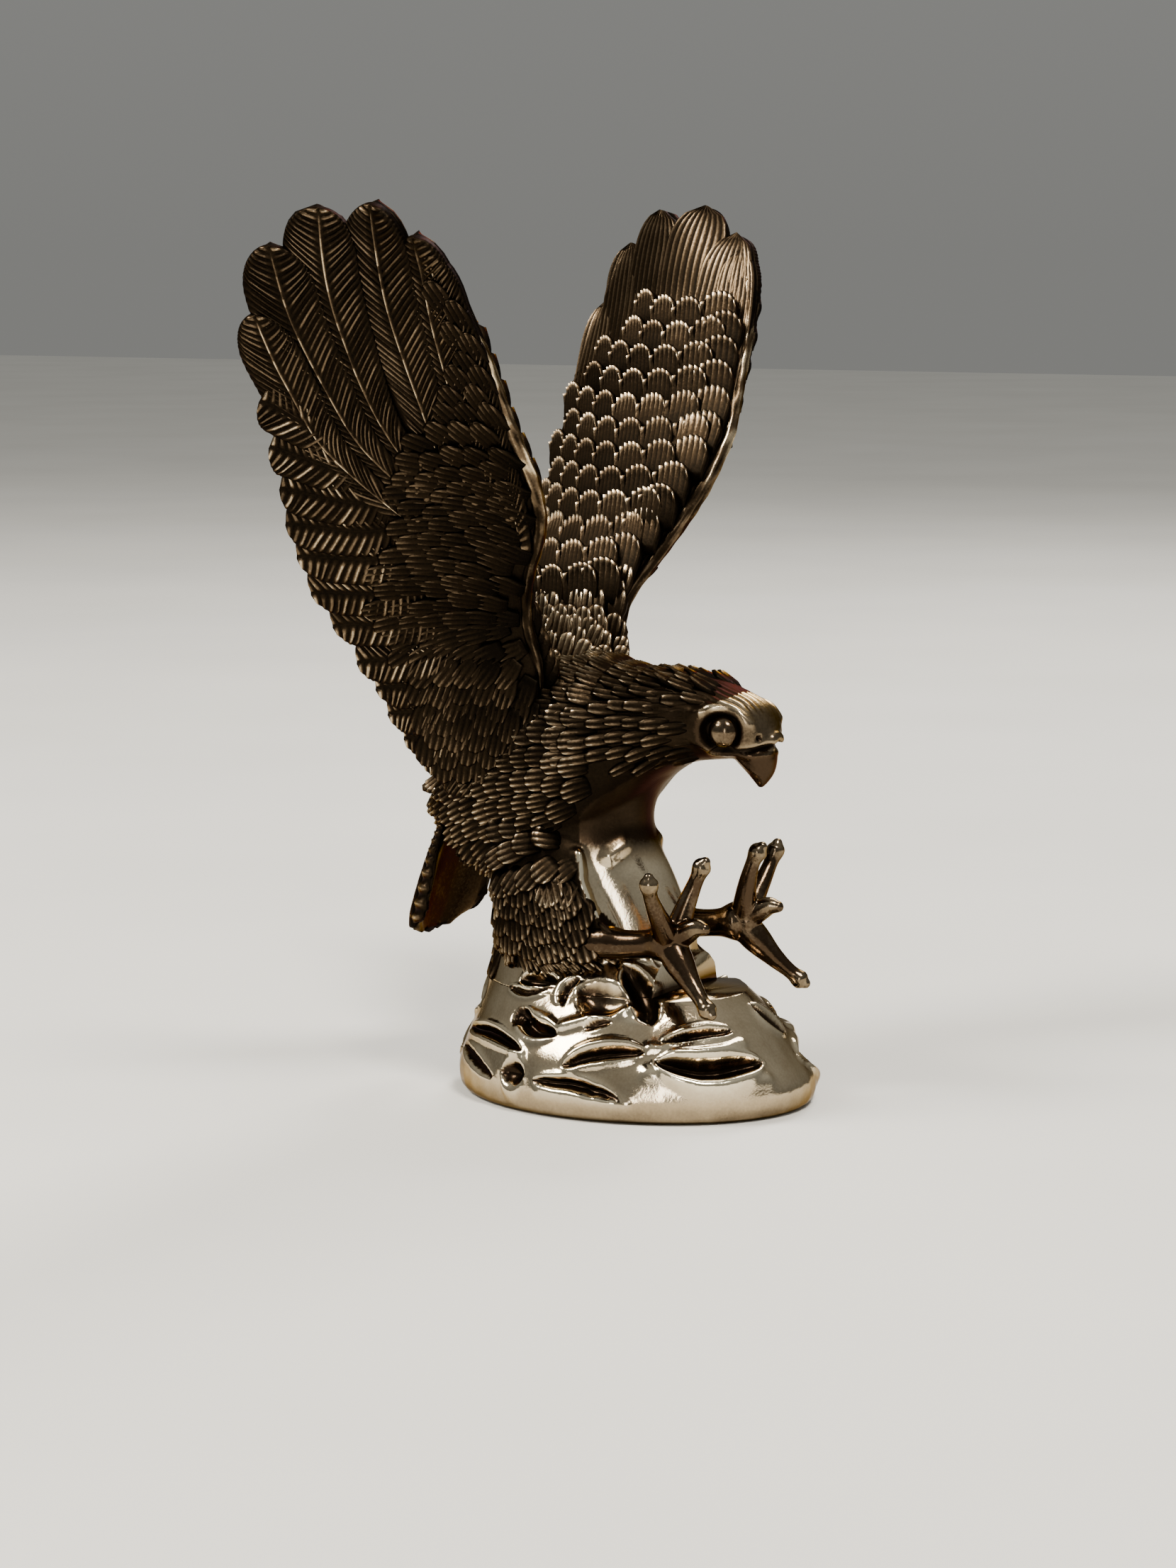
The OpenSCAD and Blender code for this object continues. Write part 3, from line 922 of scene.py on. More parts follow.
# Hook of the beak by height: front, back, half width
BEAK = through([
    [45.8, -20.4, -19.8, 0.35], [46.5, -21.1, -19.3, 1.0], [47.8, -22.0, -18.2, 1.9],
    [49.2, -22.3, -16.9, 2.9], [50.6, -22.2, -15.8, 3.8], [52.2, -21.4, -15.2, 4.6]])


def rings_along(places, side, half, middle, reach, n, power=2.0, upright=False):
    """Oval rings at places up the bird or, upright, along it; a higher power squares them off."""
    a = round_turn(n)
    c, s = np.cos(a), np.sin(a)
    c = np.sign(c) * np.abs(c)**(2 / power)
    s = np.sign(s) * np.abs(s)**(2 / power)
    across = np.asarray(side)[..., None] + half[:, None] * c
    other = middle[:, None] + reach[:, None] * s
    place = np.repeat(places[:, None], n, 1)
    return np.stack([across, place, other] if upright else [across, other, place], -1)


def rock_rings():
    heights = np.linspace(0, 47, 95)
    front, back, half = ROCK(heights).T
    return rings_along(heights, 0.0, half, (back - front) / 2, (back + front) / 2, 44)


def beak_rings():
    heights = np.linspace(45.8, 52.2, 24)
    front, back, half = BEAK(heights).T
    return rings_along(heights, 0.0, half, (front + back) / 2, (back - front) / 2, 28)


def thigh_rings():
    heights = np.linspace(17, 45, 44)
    front, back, inner, outer = THIGH(heights).T
    return rings_along(heights, (inner + outer) / 2, (outer - inner) / 2,
                       (front + back) / 2, (back - front) / 2, 36)


def upright_rings(curve, reaches, power):
    top, low, half = curve(reaches).T
    return rings_along(reaches, 0.0, half, (top + low) / 2, (top - low) / 2, 44, power, True)


def ball(shells, centre, radii, n=28):
    a = round_turn(n)[None, :]
    b = np.linspace(-np.pi / 2, np.pi / 2, n // 2 + 1)[1:-1, None]
    rings = np.stack([np.cos(b) * np.cos(a), np.cos(b) * np.sin(a), np.sin(b) + 0 * a], -1)
    tube(shells, np.asarray(centre) + rings * radii)


def core_shells(with_rock):
    """The plain forms of the torso, neck, beak and thighs, on the rock if it's asked for."""
    shells = Shells()
    if with_rock:
        tube(shells, rock_rings())
    tube(shells, upright_rings(TORSO, np.linspace(-8, 31, 60), 2.3), flip=True)
    tube(shells, upright_rings(NECK, np.linspace(-23, 0, 50), 2.15), flip=True)
    tube(shells, beak_rings())
    for side in (1, -1):
        tube(shells, thigh_rings() * (side, 1, 1), flip=side < 0)
    return shells


class Carver:
    """Gouges and ridges worked into a mesh along its own normals, shading as it goes."""

    def __init__(self, data, shade, polish):
        self.data = data
        self.points = points_of(data)
        self.normals = vectors_of(data, "normal")
        self.skin = self.points.copy()
        self.shade = np.full(len(self.points), float(shade))
        self.polish = np.full(len(self.points), float(polish))

    def reach(self, path, mirror=False):
        """Distance to a path and the share of the way along it."""
        path = np.array(path, float)
        points = self.skin
        if mirror:
            points = np.column_stack([np.abs(points[:, 0]), points[:, 1:]])
        best = np.full(len(points), 1e9)
        along = np.zeros(len(points))
        steps = np.linalg.norm(np.diff(path, axis=0), axis=1)
        before = np.concatenate([[0], np.cumsum(steps)]) / max(steps.sum(), 1e-9)
        for k in range(len(path) - 1):
            edge = path[k + 1] - path[k]
            t = np.clip((points - path[k]) @ edge / (edge @ edge), 0, 1)
            gap = np.linalg.norm(points - path[k] - t[:, None] * edge, axis=1)
            closer = gap < best
            best[closer] = gap[closer]
            along[closer] = (before[k] + t * (before[k + 1] - before[k]))[closer]
        return best, along

    def on_skin(self, path):
        """The path moved on to the nearest part of the skin."""
        moved = []
        for place in path:
            gaps = ((self.skin - place)**2).sum(1)
            moved.append(self.skin[np.argpartition(gaps, 10)[:10]].mean(0))
        return np.array(moved)

    def gouge(self, path, half, depth, lip=0.0, dark=0.62, mirror=False, taper=True):
        """A groove along a path, deepest at its middle, with raised lips; the groove's colour is darkened,
        and raised lips are painted a little lighter as a painted highlight.
        """
        path = spread(path)(np.linspace(0, 1, 14)) if len(path) > 2 else np.array(path, float)
        path = self.on_skin(path)
        gap, along = self.reach(path, mirror)
        wide = half * (np.sqrt(np.clip(4 * along * (1 - along), 0.02, 1)) if taper else 1.0)
        s = gap / wide
        cut = np.clip(1 - s**2, 0, 1)
        raised = np.exp(-((s - 1.6) / 0.6)**2)
        self.push(lip * raised - depth * cut * (wide / half))
        self.shade -= dark * ease(0.1, 0.75, cut)
        self.shade += 0.12 * raised * (lip > 0)

    def bulge(self, path, half, height, bright=0.0, mirror=False):
        """A soft ridge along a path."""
        if len(path) > 2:
            path = self.on_skin(spread(path)(np.linspace(0, 1, 14)))
        gap, _ = self.reach(path, mirror)
        swell = np.exp(-(gap / half)**2)
        self.push(height * swell)
        self.shade += bright * swell

    def push(self, amount):
        self.points += self.normals * np.asarray(amount)[:, None]

    def finish(self, passes):
        set_points(self.data, self.points)
        relax(self.data, passes)
        set_field(self.data, "shade", self.shade)
        set_field(self.data, "polish", self.polish)
        return smoothed(self.data)


# Gouges in the rock: path, half width, depth, lip
NEAR_GOUGES = [
    ([(-12.0, 12.2, 17.2), (-12.6, 8.8, 17.7), (-12.9, 5.5, 17.7)], 1.15, 1.5, 0.45),
    ([(-11.8, 14.4, 16.0), (-13.5, 9.8, 15.7), (-13.4, 5.6, 16.8)], 0.5, 0.6, 0.3),
    ([(-12.2, 2.3, 18.5), (-13.6, 3.6, 16.8), (-15.2, 3.3, 14.9)], 0.8, 1.1, 0.4),
    ([(-15.3, 9.8, 14.0), (-16.6, 8.0, 12.0), (-17.9, 2.6, 11.2)], 1.2, 1.6, 0.4),
    ([(-15.0, 10.8, 13.8), (-16.6, 9.4, 11.8)], 1.5, 1.2, 0.0),
    ([(-10.0, 21.8, 9.0), (-16.5, 13.1, 9.7), (-19.2, 7.2, 8.5)], 0.8, 1.2, 0.45),
    ([(-11.1, 22.1, 6.6), (-16.4, 16.8, 5.6), (-19.0, 12.5, 4.3)], 0.8, 1.1, 0.35),
    ([(-19.4, 10.6, 5.4), (-20.5, 6.4, 5.5)], 1.8, 1.4, 0.35),
    ([(-20.9, 4.6, 5.0), (-21.1, -1.9, 5.2), (-20.3, -9.2, 3.7)], 0.8, 1.2, 0.3),
    ([(-20.4, 0.1, 7.3), (-19.0, -3.7, 9.1), (-17.6, -7.6, 9.8), (-16.4, -10.9, 9.8)], 1.05, 1.5, 0.5),
    ([(-17.1, -1.6, 12.3), (-15.9, -3.5, 13.2), (-15.5, -5.0, 13.3)], 0.65, 0.8, 0.2),
    ([(-16.4, -12.7, 8.5), (-13.2, -18.3, 7.5), (-5.2, -23.4, 7.7)], 1.5, 1.9, 0.6),
    ([(-14.6, -12.3, 10.9), (-11.3, -15.7, 11.9), (-6.3, -19.4, 12.0)], 0.75, 1.1, 0.5)]
FAR_GOUGES = [
    ([(13.6, 10.5, 17.9), (12.2, 5.6, 17.6)], 2.0, 1.4, 0.5),
    ([(15.6, 13, 12.6), (16.6, 7, 11.8)], 2.6, 1.8, 0.5),
    ([(11, 21.2, 8.4), (17.8, 13, 7.2), (20.4, 5.2, 6.6)], 1.4, 1.4, 0.5),
    ([(21.3, 4.4, 4.2), (21.1, -4.2, 3.8), (18.6, -12.4, 3.8)], 1.7, 1.0, 0.5),
    ([(20.3, -0.5, 7.8), (17.4, -9.8, 9.6)], 1.6, 1.4, 0.5),
    ([(16.6, -13.4, 7.2), (11.5, -20.8, 5.8), (4.4, -24.8, 7.0)], 2.1, 1.7, 0.6),
    ([(13.8, -14.4, 11.2), (8.0, -19.4, 11.6)], 1.6, 1.3, 0.5),
    ([(-8, 24.6, 5.2), (2, 25.8, 7.0), (11, 22.6, 4.6)], 1.8, 1.4, 0.5),
    ([(-9, 22.0, 12.4), (0, 24.0, 13.4), (7, 22.8, 11.4)], 1.8, 1.4, 0.5),
    ([(4.5, -21.8, 10.0), (0.5, -18.4, 14.2)], 1.2, 0.9, 0.4)]
# Swellings under the front lips: path, half width, height
ROCK_LIPS = [
    ([(-21.3, 3.7, 3.5), (-21.4, -3.6, 3.3), (-20.0, -9.9, 2.9)], 0.9, 0.5),
    ([(-17.5, -12.2, 7.2), (-14.0, -19.4, 5.3), (-6.4, -24.4, 5.6)], 1.3, 0.7),
    ([(-15.6, -11.4, 10.4), (-12.3, -16.9, 9.8), (-6.4, -20.7, 10.2)], 0.9, 0.6)]


def carve_rock(carver):
    for path, half, depth, lip in NEAR_GOUGES + FAR_GOUGES:
        carver.gouge(path, half, depth, lip)
    for side in (1, -1):
        # Painted shade and reflection: the cup and the recess under each leg are painted dark.
        cup = [(side * 13.4, 1.4, 16.8), (side * 13.6, -3.0, 15.9), (side * 12.6, -6.4, 16.2)]
        carver.gouge(cup, 3.2, 2.2, dark=0.34)
        recess = [(side * 9.5, -3.5, 20.4), (side * 10.4, -6.5, 17.8), (side * 12.3, -8.8, 15.0),
                  (side * 13.4, -10.2, 13.2)]
        carver.gouge(recess, 2.3, 2.4, lip=0.2, dark=0.60)
        # Painted highlight: the swelling lip below each recess is painted lighter.
        lip = [(side * 17.2, 1.8, 12.3), (side * 15.4, -3.1, 13.9), (side * 12.4, -8.0, 15.0)]
        carver.bulge(lip, 0.8, 0.9, 0.25)
    # Painted highlights: the swellings under the front lips are painted a little lighter.
    for path, half, height in ROCK_LIPS:
        carver.bulge(path, half, height, 0.1)
    # Painted shade and reflection: the rock is painted darker towards its foot.
    carver.shade -= 0.20 * ease(4.5, 0.5, carver.skin[:, 2])


def carve_trunk(carver):
    # Painted highlights: the lump on the chest and the ridge down the front of the thigh are painted
    # lighter.
    lump = [(7.0, 0.4, 35.4), (5.0, -1.2, 36.8)]
    carver.bulge(lump, 1.1, 0.8, 0.15, mirror=True)
    ridge = [(9.6, 4.2, 35.6), (10.6, 3.0, 31.5), (11.2, 0.6, 27.6), (11.0, -1.6, 24.6)]
    carver.bulge(ridge, 0.8, 1.2, 0.35, mirror=True)
    hollow = [(6.5, -6.0, 22.5), (3.0, -9.0, 20.5)]
    carver.gouge(hollow, 1.6, 0.6, lip=0.2, dark=0.1, mirror=True)


# Front edge of the plumage by height: y
FEATHER_FRONT = through([[17, 2.5], [20, 0.2], [22.4, -1.3], [25, -1.6], [30, 1.6], [35.5, 3.6], [39, 4.4],
                         [42, 3.2], [45, -0.8], [48, -6], [50, -14]])


def split(data, at, normal):
    """The part of a mesh behind a plane, closed along the cut."""
    mesh = bmesh.new()
    mesh.from_mesh(data)
    geometry = mesh.verts[:] + mesh.edges[:] + mesh.faces[:]
    bmesh.ops.bisect_plane(mesh, geom=geometry, plane_co=Vector(at) * MM, plane_no=normal,
                           clear_outer=True, dist=1e-7)
    rim_edges = [edge for edge in mesh.edges if edge.is_boundary]
    bmesh.ops.edgeloop_fill(mesh, edges=rim_edges)
    bmesh.ops.recalc_face_normals(mesh, faces=mesh.faces)
    part = bpy.data.meshes.new("part")
    mesh.to_mesh(part)
    mesh.free()
    return part


# Where the castings meet, the middle of a thigh, and the left eye
JOINT_Z = 16.0
NECK_Y = -8.0
HIP_X, HIP_Y = 8.6, 8.0
EYE = (5.2, -17.0, 54.0)
EYE_RADII = (1.9, 2.2, 2.2)
# Lowest feathers, and the height where the flank's scales give way to the thigh's fans
PLUMAGE_FOOT = 19.5
FANS_FROM = 31.0


def behind_front(points):
    return points[..., 1] > FEATHER_FRONT(points[..., 2])[..., 0]


def make_core(tree, finishes):
    """Rock, trunk and head, carved out of one fused form and then parted at their joints."""
    data = fused("core", core_shells(True), 0.34, 14)
    carver = Carver(data, 0.66, 1.0)
    low = carver.points[:, 2] < 26
    carve_rock(carver)
    carve_trunk(carver)
    feathered = behind_front(carver.points) & (carver.points[:, 2] > PLUMAGE_FOOT)
    carver.polish[feathered] = 0.0
    carver.shade[feathered] = 0.12
    z = carver.points[:, 2]
    # Painted reflection: the smooth trunk is painted darker towards the neck, for the dark surroundings it
    # mirrors there, and a little lighter lower down; it also grows duller towards the neck
    smooth = ~feathered & ~low
    carver.shade[smooth] -= 0.50 * ease(33, 39, z[smooth]) - 0.06
    carver.polish[smooth] -= 0.7 * ease(34, 39, z[smooth])
    skin = carver.finish(2)
    rock = split(skin, (0, 0, JOINT_Z), (0, 0, 1))
    upper = split(skin, (0, 0, JOINT_Z), (0, 0, -1))
    trunk = split(upper, (0, NECK_Y, 0), (0, -1, 0))
    make_rock(rock, finishes)
    head = carve_head(fused("head_skin", core_shells(False), 0.24, 3))
    make_plumage(tree, finishes, trunk, split(head, (0, NECK_Y, 0), (0, 1, 0)))


def make_rock(data, finishes):
    piece = joined("rock", [data], finishes["polished_bronze"])
    hollow_for_felt(piece)
    hand_over(piece, "base_shell")


FELT_GAP = 0.05


def hollow_for_felt(piece):
    """A shallow recess in the underside for the felt pad."""
    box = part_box("felt_pad")
    low, high = np.array(box[0]) / MM, np.array(box[1]) / MM
    centre = (low + high) / 2
    half = (high - low) / 2 + FELT_GAP
    heights = np.array([-1.0, high[2] + 0.02])
    both = np.ones(2)
    shells = Shells()
    tube(shells, rings_along(heights, centre[0], half[0] * both, centre[1] * both, half[1] * both, 72))
    cutter = shells.object("cutter")
    cut = piece.modifiers.new("recess", "BOOLEAN")
    cut.operation = "DIFFERENCE"
    cut.solver = "EXACT"
    cut.object = cutter
    data = baked(piece)
    piece.modifiers.clear()
    piece.data = data
    bpy.data.objects.remove(cutter)


def from_eye(y, z):
    return np.hypot(y - EYE[1], z - EYE[2])


def hackled_at(y, z):
    """Where strands cover the head: up to the eye's ring, and over the crown behind the brow."""
    clear = from_eye(y, z) > 3.7
    return clear & (y > -14.0 - 3.2 * ease(57.0, 59.0, z)) & (z > 49.4)


def carve_head(data):
    carver = Carver(data, 0.42, 0.55)
    points = carver.points
    x, y, z = np.abs(points[:, 0]), points[:, 1], points[:, 2]
    dish = ease(3.3, 2.2, from_eye(y, z)) * (x > 2.5)
    carver.push(-1.3 * dish)
    carver.shade -= 0.6 * ease(0.0, 0.6, dish)
    brow = [(6.6, -13.4, 56.4), (6.3, -15.8, 57.6), (5.3, -18.6, 57.3), (4.3, -20.6, 55.2)]
    carver.bulge(brow, 0.8, 0.55, 0.15, mirror=True)
    under_eye = [(6.9, -13.2, 52.4), (6.2, -15.6, 50.9), (5.2, -18.6, 51.0)]
    carver.bulge(under_eye, 0.6, 0.35, 0.05, mirror=True)
    mouth = [(5.6, -15.6, 50.6), (4.6, -18.6, 51.2), (3.0, -21.4, 51.5), (0.0, -23.0, 51.7)]
    carver.gouge(mouth, 0.62, 0.75, lip=0.15, dark=0.65, mirror=True, taper=False)
    nostril = [(2.7, -21.0, 52.9), (3.1, -20.4, 53.4)]
    carver.gouge(nostril, 0.5, 0.5, dark=0.5, mirror=True)
    hook = [(3.4, -18.2, 49.8), (2.2, -20.2, 47.6)]
    carver.bulge(hook, 0.5, 0.2, 0.2, mirror=True)
    beak = (z < 51.2) & (y < -16.0)
    carver.shade[beak] -= 0.22
    cheek = ease(57.5, 54.5, z) * ease(-21.0, -17.5, y)
    carver.shade -= 0.14 * cheek
    # Painted highlight: the crown is painted lighter, where light falls on it from above; its engraved
    # streaks are lighter on their ridges as rubbed wear.
    crown = ease(55.5, 57.5, z) * ease(-22.0, -19.0, y)
    streak = np.sin(2 * np.pi * x / 1.1 + 0.8 * np.sin(1.3 * y))
    carver.push(0.10 * streak * crown)
    carver.shade += (0.10 + 0.16 * streak) * crown
    hackled = hackled_at(y, z)
    carver.shade[hackled] = np.minimum(carver.shade[hackled], 0.25)
    carver.polish[hackled] = 0.1
    carver.polish[beak] = 1.0
    return carver.finish(1)


def surface_of(*parts):
    """A tree for finding the skin under the plumage."""
    points = []
    faces = []
    for data in parts:
        count = len(points)
        points.extend(v.co / MM for v in data.vertices)
        faces.extend([v + count for v in face.vertices] for face in data.polygons)
    return BVHTree.FromPolygons(points, faces)


def met(skin, middle, out, far):
    """The skin's point and normal, met from far outside on the way to a point inside the bird."""
    point, normal, _, _ = skin.ray_cast(middle + out * far, -out)
    return None if point is None else (np.array(point), np.array(normal))


def laid_along(normal, flow):
    """A heading turned down on to the surface."""
    ahead = np.array(flow, float)
    return unit(ahead - normal * (ahead @ normal))


def bedded(point, normal, flow, sink, lift, width):
    """One feather's place, with its root sunk in the skin and its tip lifted a little."""
    ahead = laid_along(normal, flow)
    out = unit(normal - lift * ahead)
    return (point - normal * sink, laid_along(out, ahead), out, width, 1.0, 1.0)


def flow_at(point):
    """Which way the plumage lies: back along the body, down over the hips and thighs."""
    down = float(ease(40.0, 30.0, point[2]))
    drop = float(ease(8.0, 24.0, point[1])) * float(ease(56.0, 44.0, point[2]))
    return (0.0, 1.0 - 0.85 * down, -0.12 - 0.5 * drop * (1 - down) - 1.0 * down)


def plumage_rows(skin, y_values, spacing, low, centre_z, keep):
    """Rows of feathers round the body, from a low angle to the top, evenly spaced on the skin."""
    places = []
    for row, y in enumerate(y_values):
        for side in (1, -1):
            last = None
            walked = spacing * (0.25 if row % 2 else 0.75)
            for angle in np.arange(low, math.pi / 2, math.radians(1.0)):
                turned = angle if side > 0 else math.pi - angle
                out = Vector((math.cos(turned), 0.0, math.sin(turned)))
                found = met(skin, Vector((0.0, y, centre_z)), out, 60.0)
                if found is None:
                    continue
                point, normal = found
                if last is not None:
                    walked += np.linalg.norm(point - last)
                last = point
                if walked < spacing:
                    continue
                walked -= spacing
                if keep(point):
                    width = 1 + 0.06 * RNG.normal()
                    places.append(bedded(point, normal, flow_at(point), 0.25, 0.10, width))
    return places


def thigh_rows(skin, heights, step, sweep, loose):
    """Feathers fanning down the thighs, swept forward by the given share."""
    places = []
    for row, z in enumerate(heights):
        for side in (1, -1):
            for angle in np.arange(-1.2, 1.9, step):
                turned = angle + (step / 2 if row % 2 else 0.0)
                out = Vector((side * math.cos(turned), math.sin(turned), 0.0))
                drift = RNG.normal(0.0, loose, 2)
                found = met(skin, Vector((side * HIP_X, HIP_Y, z + drift[1])), out, 40.0)
                if found is None:
                    continue
                point, normal = found
                if point[1] < FEATHER_FRONT(point[2])[0] + 0.5 or abs(point[0]) < 4.5:
                    continue
                forward = sweep * float(ease(17.0, 8.0, point[1]))
                flow = (0.0, 0.10 - forward, -1.0)
                places.append(bedded(point, normal, flow, 0.3, 0.05, 1.0 + 0.06 * RNG.normal()))
    return places


def keep_body(point):
    return point[1] > FEATHER_FRONT(point[2])[0] + 0.6 and point[2] > FANS_FROM


def keep_neck(point):
    return bool(hackled_at(point[1], point[2])) and point[1] < 4.5


# The scale feather of the flanks, back and rump
BODY_SCALE = {"half": 1.8, "length": 4.5, "ridges": 4, "depth": 0.46, "rise": 0.75, "arch": 0.28,
              "rows": 6, "arc": 0.42, "root": 0.80, "shine": 1.0}


def make_plumage(tree, finishes, trunk, head):
    """Scales on the flanks and back, fans and strands on the thighs, strands on neck and crown."""
    skin = surface_of(trunk, head)
    flank = flat_feather("flank", **BODY_SCALE)
    fan = flat_feather("fan", 2.5, 5.6, ridges=5, depth=0.46, rise=0.70, arch=0.40, rows=7,
                       arc=0.42, root=0.25, shine=0.85)
    hackle = flat_feather("hackle", 0.95, 5.0, ridges=2, depth=0.44, rise=0.34, arch=0.08, rows=6,
                          arc=0.34, root=0.7, shine=0.9)
    finish = finishes["antique_bronze"]
    scales = plumage_rows(skin, np.arange(29.0, -1.0, -2.5), 3.2, -1.3, 47.0, keep_body)
    strands = plumage_rows(skin, np.arange(2.4, -17.6, -2.5), 2.0, -1.0, 55.0, keep_neck)
    on_head = [place for place in strands if place[0][1] < NECK_Y + 1.0]
    on_nape = [place for place in strands if place[0][1] >= NECK_Y + 1.0]
    body = [trunk, laid(tree, flank, scales, finish),
            laid(tree, fan, thigh_rows(skin, np.arange(33.0, 24.5, -2.4), 0.40, 0.5, 0.5), finish),
            laid(tree, hackle, thigh_rows(skin, np.arange(25.8, 21.4, -1.4), 0.15, 1.5, 0.7), finish),
            laid(tree, hackle, on_nape, finish)]
    hand_over(joined("body_cast", body, finish), "body")
    crown = [head, laid(tree, hackle, on_head, finish)]
    hand_over(joined("head_cast", crown, finish), "head")
    for loose in (flank, fan, hackle):
        bpy.data.objects.remove(loose)


def make_eyes(finishes):
    for name, side in (("left_eye", 1), ("right_eye", -1)):
        shells = Shells()
        ball(shells, (side * EYE[0], EYE[1], EYE[2]), EYE_RADII, 56)
        shells.shade_all(0.36)
        piece = joined(name + "_bead", [shells.mesh(name)], finishes["bead_bronze"])
        set_field(piece.data, "polish", np.ones(len(piece.data.vertices)))
        hand_over(piece, name)


# ---------------------------------------------------------------- feet and tail

# Left foot: paths of (x, y, z, radius)
SHANK = [(10.3, 1.5, 23.4, 2.5), (10.3, -1, 23.6, 2.5), (10.3, -4, 23.6, 2.1), (10.3, -8, 24, 2.1),
         (10.3, -11.2, 24.5, 2.9), (10.3, -12.4, 24.6, 2.0)]
# Three toes up and forward, and one down
TOES = [
    [(10.6, -11.4, 24.4, 1.8), (12.6, -11.8, 26.6, 1.68), (15.4, -12.1, 29.6, 1.32),
     (17.6, -12.4, 32.4, 1.08), (18.5, -12.7, 34.2, 1.32), (18.7, -12.8, 34.9, 0.72)],
    [(10.2, -11.6, 24.4, 1.8), (9.4, -12.5, 27.4, 1.68), (8.6, -13.4, 30.6, 1.32),
     (8.1, -14.6, 33.8, 1.08), (8.2, -15.4, 35.4, 1.32), (8.3, -15.9, 36, 0.72)],
    [(10.3, -11.8, 24.6, 1.8), (10.5, -13.9, 26, 1.68), (10.7, -15.8, 27, 1.32), (10.8, -17.2, 27, 0.84)],
    [(10.4, -11.4, 24.4, 2.28), (11.2, -13.4, 22, 2.16), (12.2, -16, 19.2, 1.44),
     (13.2, -18.4, 17, 1.08), (13.7, -19.5, 16, 1.32), (13.9, -20.1, 15.6, 0.72)]]


def limb(shells, path):
    """A round limb along a path, with a ball at either end."""
    path = np.array(path, float)
    curve = spread(path)
    s = np.linspace(0, 1, 36)
    row = curve(s)
    ahead = unit(curve(s + 0.02)[:, :3] - curve(s - 0.02)[:, :3])
    side = unit(np.cross((1.0, 0.0, 0.0), ahead))
    other = np.cross(ahead, side)
    a = round_turn(20)[None, :, None]
    rings = row[:, None, :3] + row[:, None, 3:] * (np.cos(a) * side[:, None] + np.sin(a) * other[:, None])
    tube(shells, rings)
    for place in path[[0, -1]]:
        ball(shells, place[:3], (place[3],) * 3, 16)


def make_feet(finishes):
    shells = Shells()
    limb(shells, SHANK)
    for toe in TOES:
        limb(shells, toe)
    carver = Carver(fused("foot", shells, 0.2, 2), 0.33, 1.0)
    for toe in TOES:
        knob = np.array(toe[-2])
        carver.bulge([knob[:3], knob[:3] + (0.01, 0, 0)], 1.3, 0.12, 0.2)
    make_pair("foot", [carver.finish(1)], "dark_bronze", finishes)


# Tail down its length: share, y, z, half width, sag of the edges
TAIL = through([[0, 25.5, 45.5, 5.6, 0.4], [0.15, 28.2, 41, 7.0, 1.4], [0.38, 30.8, 35, 8.2, 2.6],
                [0.60, 33, 29.4, 8.6, 4.3], [0.80, 34.6, 24.6, 8.4, 4.5], [0.93, 35.5, 21.8, 7.6, 4.2],
                [1.0, 35.9, 20.2, 7.0, 3.6]])


def tail_at(side):
    def at(x, s, height):
        x, s, height = np.broadcast_arrays(np.asarray(x, float), s, height)
        y, z, half, sag = np.moveaxis(TAIL(s), -1, 0)
        ahead = unit(TAIL(s + 0.02)[..., :2] - TAIL(s - 0.02)[..., :2])
        share = np.clip(x / half, -1.05, 1.05)
        bend = sag * np.abs(share)**5
        turn = 5 * sag / half * np.abs(share)**4 * np.sign(share)
        out = np.stack([turn, -ahead[..., 1], ahead[..., 0]], -1)
        centre = np.stack([x, y - bend, z], -1)
        return centre + unit(out) * (side * height)[..., None]

    def floor(x, s):
        return at(x, s, -0.3)

    return at, floor


# The swelling where the tail leaves the body: middle and radii
RUMP = np.array([0.0, 28.9, 42.0])
RUMP_RADII = np.array([4.8, 3.6, 4.4])


def rump_places():
    """Scale feathers over the rump."""
    places = []
    for row, rise in enumerate((-25, 8, 41, 74)):
        for turn in np.arange(-75, 76, 30) + (15 if row % 2 else 0):
            e, a = math.radians(rise), math.radians(turn)
            out = np.array([math.cos(e) * math.sin(a), math.cos(e) * math.cos(a), math.sin(e)])
            point = RUMP + out * (RUMP_RADII - 0.3)
            places.append((point, laid_along(out, (0.0, 0.35, -1.0)), out, 1.0, 1.0, 1.0))
    return places


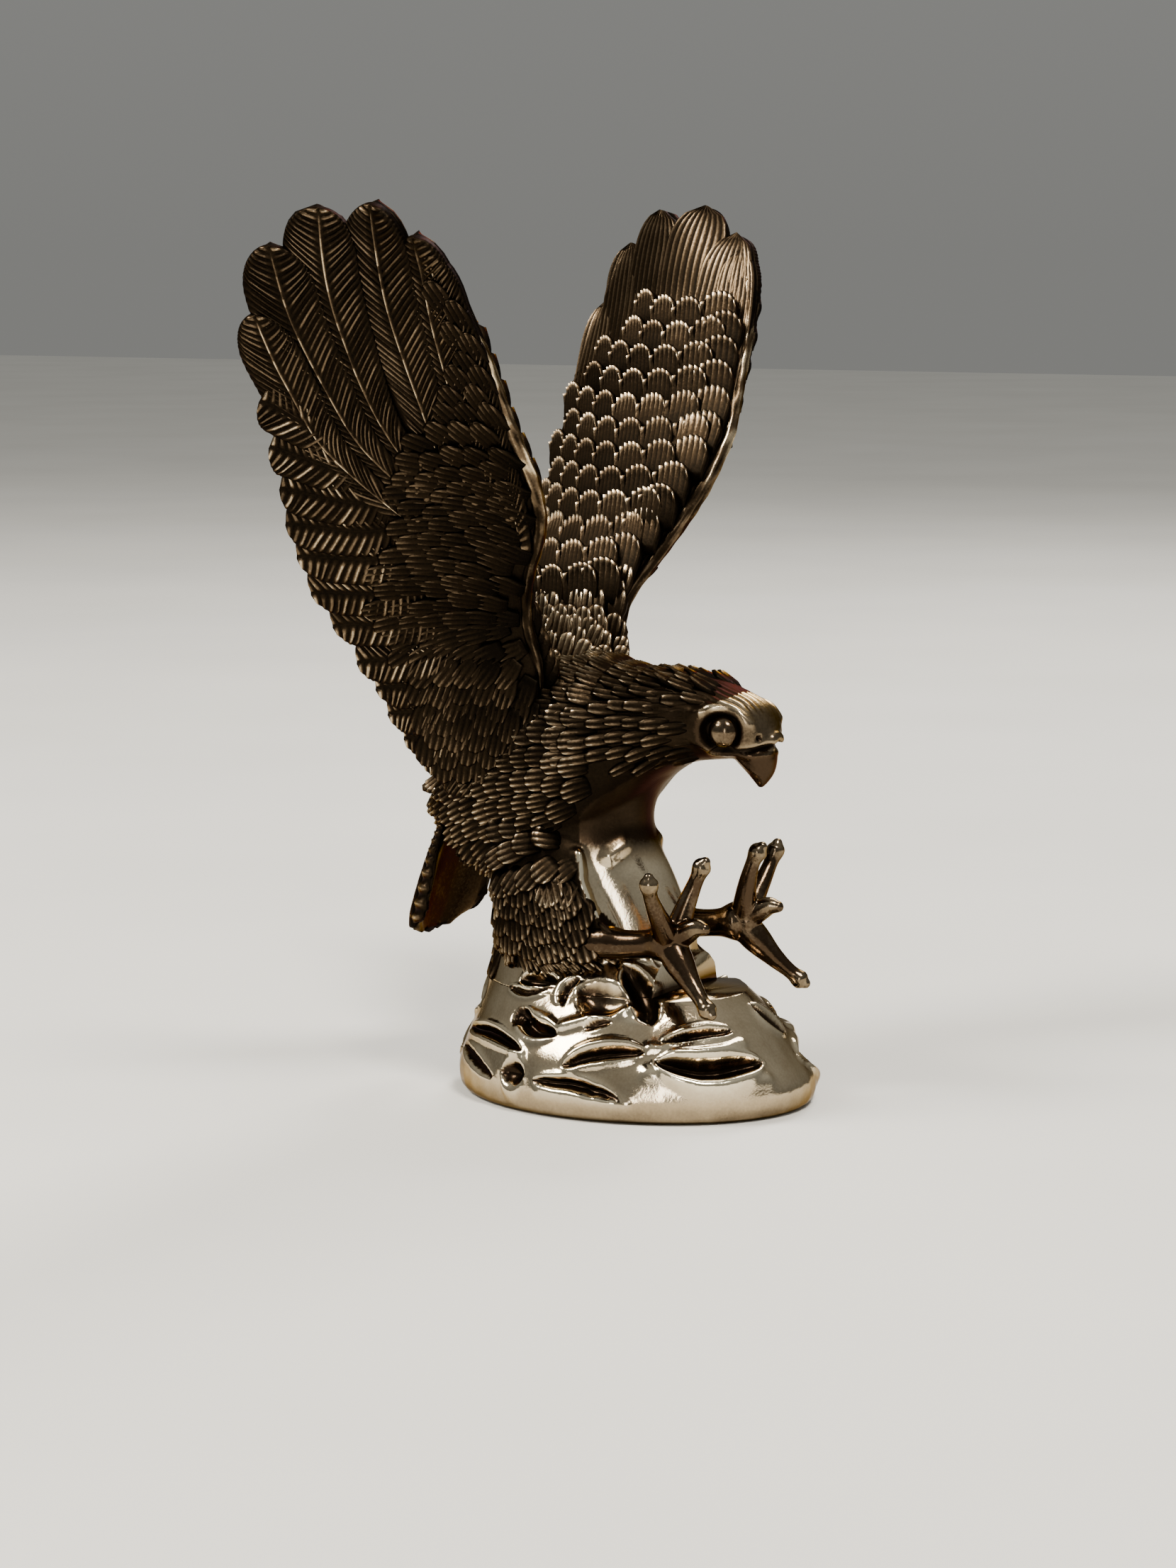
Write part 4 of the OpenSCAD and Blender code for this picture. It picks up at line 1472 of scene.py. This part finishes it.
def make_tail(tree, finishes):
    """A thin fan, hollow underneath, with seven feathers on top and the rump at its root."""
    shells = Shells()
    ball(shells, RUMP, RUMP_RADII, 32)
    shells.shade_all(0.12)
    s = np.linspace(0.0, 0.955, 40)[:, None]
    t = np.linspace(-1, 1, 25)[None, :]
    half = TAIL(s)[..., 2] * np.sqrt(np.clip(1 - np.clip((s - 0.8) / 0.22, 0, 1)**2, 0.1, 1)) - 0.4
    edge = np.sqrt(np.clip(1 - t**6, 0, 1))
    at, floor = tail_at(1)
    lower, _ = tail_at(-1)
    top = at(half * t, s, 0.25 * edge)
    thick = 0.7 + 1.0 * np.clip(np.abs(t) * 1.3 - 0.35, 0, 1)
    under = lower(half * t, s, thick * edge)
    # Painted highlight: the hollow underside is painted lighter towards its edges.
    hollow_shade = np.broadcast_to(0.34 + 0.3 * np.abs(t)**4, (40, 25))
    shade = np.concatenate([np.full((40, 25), 0.15), hollow_shade], 1)
    tube(shells, np.concatenate([top[:, ::-1], under], 1), shade, flip=True)
    for k in (0, 1, -1, 2, -2, 3, -3):
        end = 1.0 - 0.012 * k * k
        path = [(1.4 * k, 0.02), (1.95 * k, 0.5), (2.1 * k, end)]
        spine = spread(path)
        wide = saw_edge(round_tip(2.1 - 0.08 * abs(k), start=0.1, tip=0.10, root=0.8), teeth=15)
        relief = lines_relief(3, depth=0.30, rise=0.25, arch=0.25, lift=0.5 - 0.1 * abs(k), shine=0.55)
        relief = tilted(relief, -0.08 * np.sign(k))
        if abs(k) == 3:
            relief = barbs_relief(17, depth=0.5, dome=0.2, shaft=0.0, lift=0.2, shine=0.75)
        blade_on_tail(shells, at, floor, spine, wide, relief)
    finish = finishes["antique_bronze"]
    tuft = flat_feather("tuft", **BODY_SCALE)
    parts = [shells.mesh("tail"), laid(tree, tuft, rump_places(), finish)]
    hand_over(joined("tail_cast", parts, finish), "tail")
    bpy.data.objects.remove(tuft)


def saw_edge(wide, teeth):
    """Notches a feather's sides."""
    def toothed(v):
        phase = (v * teeth) % 1.0
        return wide(v) * (1 + 0.14 * phase)
    return toothed


def blade_on_tail(shells, at, floor, spine, wide, relief):
    """A blade whose chart is in shares of the tail's length, so its width is set aside in mm."""
    length = 30.0

    def stretched(p, q, height):
        return at(p, q / length, height)

    def under(p, q):
        return floor(p, q / length)

    def long_spine(v):
        return spine(v) * (1.0, length)

    blade(shells, stretched, under, long_spine, wide, relief, 84, line_columns(3), 0.0, False)


# ---------------------------------------------------------------- the whole


def dress_frame(finishes):
    """Finishes for the nodes that keep their own shapes."""
    fixings = ("base_screw", "base_washer", "base_dowel", "neck_pin", "right_wing_pin",
               "left_wing_pin", "tail_pin")
    for node in ("felt_pad", *fixings):
        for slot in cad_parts[node].material_slots:
            slot.material = finishes["steel" if node in fixings else "felt"]


def make_floor():
    finish = Finish("pale_floor")
    cloud = finish.noise(9.0, 2.0)
    finish.set("Base Color", finish.ramp(cloud, [(0.3, (0.60, 0.59, 0.56)), (0.7, (0.64, 0.63, 0.60))]))
    finish.set("Roughness", 0.85)
    data = bpy.data.meshes.new("floor")
    data.from_pydata([(-3, -3, 0), (3, -3, 0), (3, 3, 0), (-3, 3, 0)], [], [(0, 1, 2, 3)])
    data.materials.append(finish.material)
    added("floor", data)


def main():
    make_camera()
    make_lights()
    finishes = make_finishes()
    tree = scattering_tree()
    make_wings(tree, finishes)
    make_core(tree, finishes)
    make_eyes(finishes)
    make_feet(finishes)
    make_tail(tree, finishes)
    dress_frame(finishes)
    make_floor()


main()
